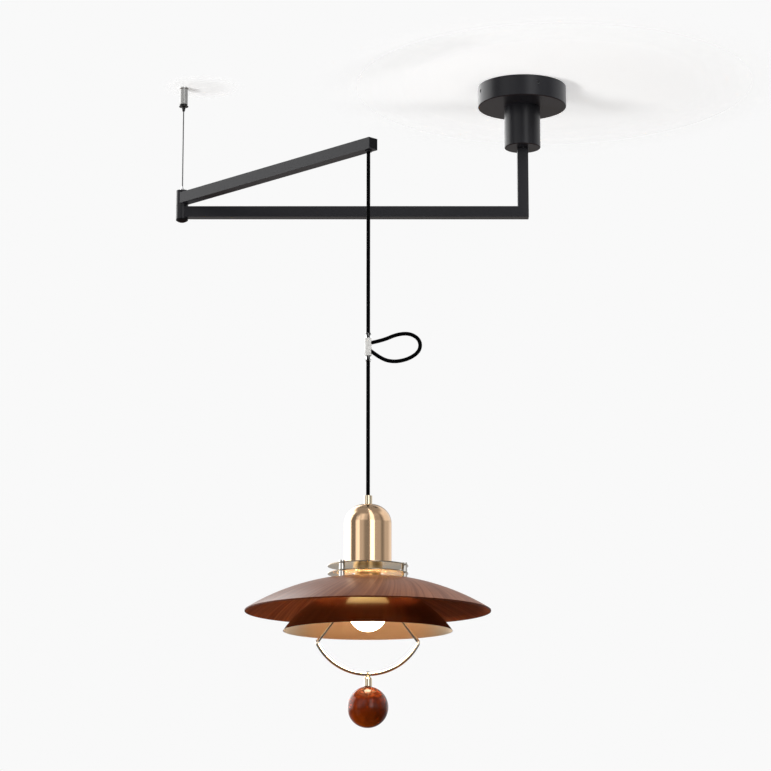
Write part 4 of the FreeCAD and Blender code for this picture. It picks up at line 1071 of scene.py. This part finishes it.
class PENDANT_OT_stage(bpy.types.Operator):
    """Camera, soft lights, white background, ceiling patch and floor"""

    bl_idname = "pendant.stage"
    bl_label = "Studio"

    def execute(self, context):
        context.scene.view_settings.view_transform = "Standard"
        self.place_camera(context)
        self.light_world(context)
        self.place_lights(context)
        self.lay_ceiling(context)
        self.lay_floor(context)
        return {"FINISHED"}

    def place_camera(self, context):
        data = bpy.data.cameras.new("photo_camera")
        data.sensor_width = SENSOR
        data.lens = LENS
        data.clip_start, data.clip_end = 0.05, 60.0
        camera = bpy.data.objects.new("photo_camera", data)
        camera.location = CAMERA_PLACE
        camera.rotation_euler = (math.radians(CAMERA_TILT), 0.0, 0.0)
        context.scene.collection.objects.link(camera)
        context.scene.camera = camera

    def light_world(self, context):
        """White to the camera, an even soft light, and a room over warm boards for metal to mirror."""
        world = bpy.data.worlds.new("white_studio")
        world.use_nodes = True
        tree = world.node_tree
        tree.nodes.clear()
        path = add(tree, "LightPath").outputs
        seen = maths(tree, "MAXIMUM", path["Is Camera Ray"], path["Is Transmission Ray"])
        level = self.blend(tree, seen, studio().ambient, studio().background)
        level = self.blend(tree, path["Is Glossy Ray"], level, self.mirrored_room(tree))
        below = remap(tree, self.ray(tree)[2], -0.60, -0.35, 1.0, 0.0)
        below = product(tree, below, path["Is Glossy Ray"])
        tint = mixed(tree, below, WHITE, finishes().boards)
        light = add(tree, "Background", {"Color": tint, "Strength": level})
        add(tree, "OutputWorld", {"Surface": light.outputs[0]})
        context.scene.world = world

    def ray(self, tree):
        """Direction a ray leaves in: to the right, away from the camera, and up."""
        return list(add(tree, "SeparateXYZ", {0: add(tree, "TexCoord").outputs["Generated"]}).outputs)

    def blend(self, tree, factor, first, second):
        """One number or the other by a factor."""
        return add(tree, "Mix", {0: factor, 2: first, 3: second}).outputs[0]

    def mirrored_room(self, tree):
        """Level of the room in each direction, whose height goes from -1 straight down to 1 straight up."""
        shown = studio()
        right, away, height = self.ray(tree)
        turn = maths(tree, "ARCTAN2", right, product(tree, away, -1.0))
        level = remap(tree, height, -0.20, 0.05, shown.dim, shown.room)
        upper = remap(tree, height, 0.5, 0.8, 0.0, shown.upper)
        floor = product(tree, remap(tree, height, -0.72, -0.52, shown.floor, 0.0),
                        remap(tree, away, -0.70, -0.45))
        behind = product(tree, remap(tree, away, 0.35, 0.70, 0.0, shown.backdrop),
                         remap(tree, height, 0.13, 0.23, 1.0, 0.0),
                         remap(tree, height, -0.10, 0.06, 0.5, 1.0))
        for part in (upper, floor, behind):
            level = maths(tree, "ADD", level, part)
        above = remap(tree, height, -0.20, 0.08)
        for centre, half, soft, boost, high_share, end in SOFTBOXES:
            off = maths(tree, "ABSOLUTE", maths(tree, "SUBTRACT", turn, math.radians(centre)))
            lit = remap(tree, off, math.radians(half), math.radians(half + soft), boost, 0.0)
            lit = product(tree, lit, above, remap(tree, height, 0.17, 0.27, 1.0, high_share),
                          remap(tree, height, end - 0.1, end + 0.1, 1.0, 0.0))
            level = maths(tree, "ADD", level, lit)
        return level

    def place_lights(self, context):
        """Softboxes; what metal mirrors of them is in the world."""
        for name, setting, place, aim, wide, high in SOFT_LIGHTS:
            data = bpy.data.lights.new(name, "AREA")
            data.shape = "RECTANGLE"
            data.size, data.size_y = wide, high
            data.energy = getattr(studio(), setting)
            lamp = bpy.data.objects.new(name, data)
            lamp.location = place
            lamp.rotation_mode = "QUATERNION"
            lamp.rotation_quaternion = (Vector(aim) - Vector(place)).to_track_quat("-Z", "Y")
            lamp.visible_camera = False
            lamp.visible_glossy = False
            context.scene.collection.objects.link(lamp)

    def plane(self, context, name, level, half):
        """A level square of the stage."""
        mesh = bpy.data.meshes.new(name)
        corners = [(x * half, y * half, level) for x, y in ((-1, -1), (1, -1), (1, 1), (-1, 1))]
        mesh.from_pydata(corners, [], [(0, 1, 2, 3)])
        item = bpy.data.objects.new(name, mesh)
        context.scene.collection.objects.link(item)
        return item

    def lay_ceiling(self, context):
        """Ceiling seen from below only, fading into the background."""
        patch = self.plane(context, "ceiling_patch", 0.0004, 1.2)
        for flag in ("visible_diffuse", "visible_glossy", "visible_transmission", "visible_shadow"):
            setattr(patch, flag, False)
        material, tree = bare_material("Ceiling plaster")
        place = place_on(tree)
        # Round the canopy and round the anchor: centre, and where the plaster starts and ends to fade
        masks = []
        for centre, near, far in (((0.05, 0.0, 0.0), 0.14, 0.40), ((ELBOW.x + 0.03, 0.0, 0.0), 0.02, 0.07)):
            masks.append(remap(tree, vectors(tree, "DISTANCE", place, centre), near, far, 1.0, 0.0))
        below = maths(tree, "SUBTRACT", 1.0, add(tree, "NewGeometry").outputs["Backfacing"])
        shown = product(tree, maths(tree, "MAXIMUM", *masks), below)
        plaster = add(tree, "BsdfDiffuse", {"Color": (0.97, 0.97, 0.97)})
        # Round a spot just right of the anchor the glow drops a little, so the ceiling greys there: a
        # painted shadow
        level = maths(tree, "MULTIPLY_ADD", masks[1], -0.14, studio().plaster)
        lift = add(tree, "Emission", {"Color": WHITE, "Strength": level})
        lit = add(tree, "AddShader", {0: plaster.outputs[0], 1: lift.outputs[0]})
        self.close_clear(tree, shown, lit)
        patch.data.materials.append(material)
        patch.data.flip_normals()

    def lay_floor(self, context):
        """Pale floor well below the lamp, white to the camera and clear from underneath."""
        ground = self.plane(context, "pale_floor", -1.75, 6.0)
        material, tree = bare_material("Pale floor")
        path = add(tree, "LightPath").outputs
        matt = add(tree, "BsdfDiffuse", {"Color": (0.42, 0.41, 0.40)})
        white = add(tree, "Emission", {"Color": WHITE, "Strength": studio().background})
        both = add(tree, "MixShader", {0: path["Is Camera Ray"], 1: matt.outputs[0], 2: white.outputs[0]})
        above = maths(tree, "SUBTRACT", 1.0, add(tree, "NewGeometry").outputs["Backfacing"])
        self.close_clear(tree, above, both)
        ground.data.materials.append(material)
        ground.visible_glossy = False

    def close_clear(self, tree, shown, shader):
        """Ends a material that is clear where it isn't shown."""
        clear = add(tree, "BsdfTransparent")
        both = add(tree, "MixShader", {0: shown, 1: clear.outputs[0], 2: shader.outputs[0]})
        add(tree, "OutputMaterial", {"Surface": both.outputs[0]})


OPERATORS = (
    PENDANT_OT_frame,
    PENDANT_OT_inner_works,
    PENDANT_OT_suspension,
    PENDANT_OT_adjuster,
    PENDANT_OT_cord,
    PENDANT_OT_cap,
    PENDANT_OT_shade,
    PENDANT_OT_reflector,
    PENDANT_OT_bulb,
    PENDANT_OT_handle,
    PENDANT_OT_stage,
)


class PENDANT_PT_panel(bpy.types.Panel):
    """Pieces of the pendant and their settings"""

    bl_idname = "PENDANT_PT_panel"
    bl_label = "Pendant light"
    bl_space_type = "VIEW_3D"
    bl_region_type = "UI"
    bl_category = "Pendant"

    def draw(self, context):
        layout = self.layout
        for operator in OPERATORS:
            layout.operator(operator.bl_idname)
        for settings in (finishes(), sizes(), studio()):
            column = layout.column()
            for name in settings.__annotations__:
                column.prop(settings, name)


SETTINGS = {
    "pendant_finishes": PendantFinishes,
    "pendant_sizes": PendantSizes,
    "pendant_studio": PendantStudio,
}
CLASSES = (*SETTINGS.values(), *OPERATORS, PENDANT_PT_panel)


def register():
    for item in CLASSES:
        bpy.utils.register_class(item)
    for name, kind in SETTINGS.items():
        setattr(bpy.types.Scene, name, bpy.props.PointerProperty(type=kind))


def unregister():
    for name in SETTINGS:
        delattr(bpy.types.Scene, name)
    for item in reversed(CLASSES):
        bpy.utils.unregister_class(item)


def main():
    """Dresses the pendant piece by piece."""
    register()
    for operator in OPERATORS:
        group, name = operator.bl_idname.split(".")
        getattr(getattr(bpy.ops, group), name)()


if __name__ == "__main__":
    main()
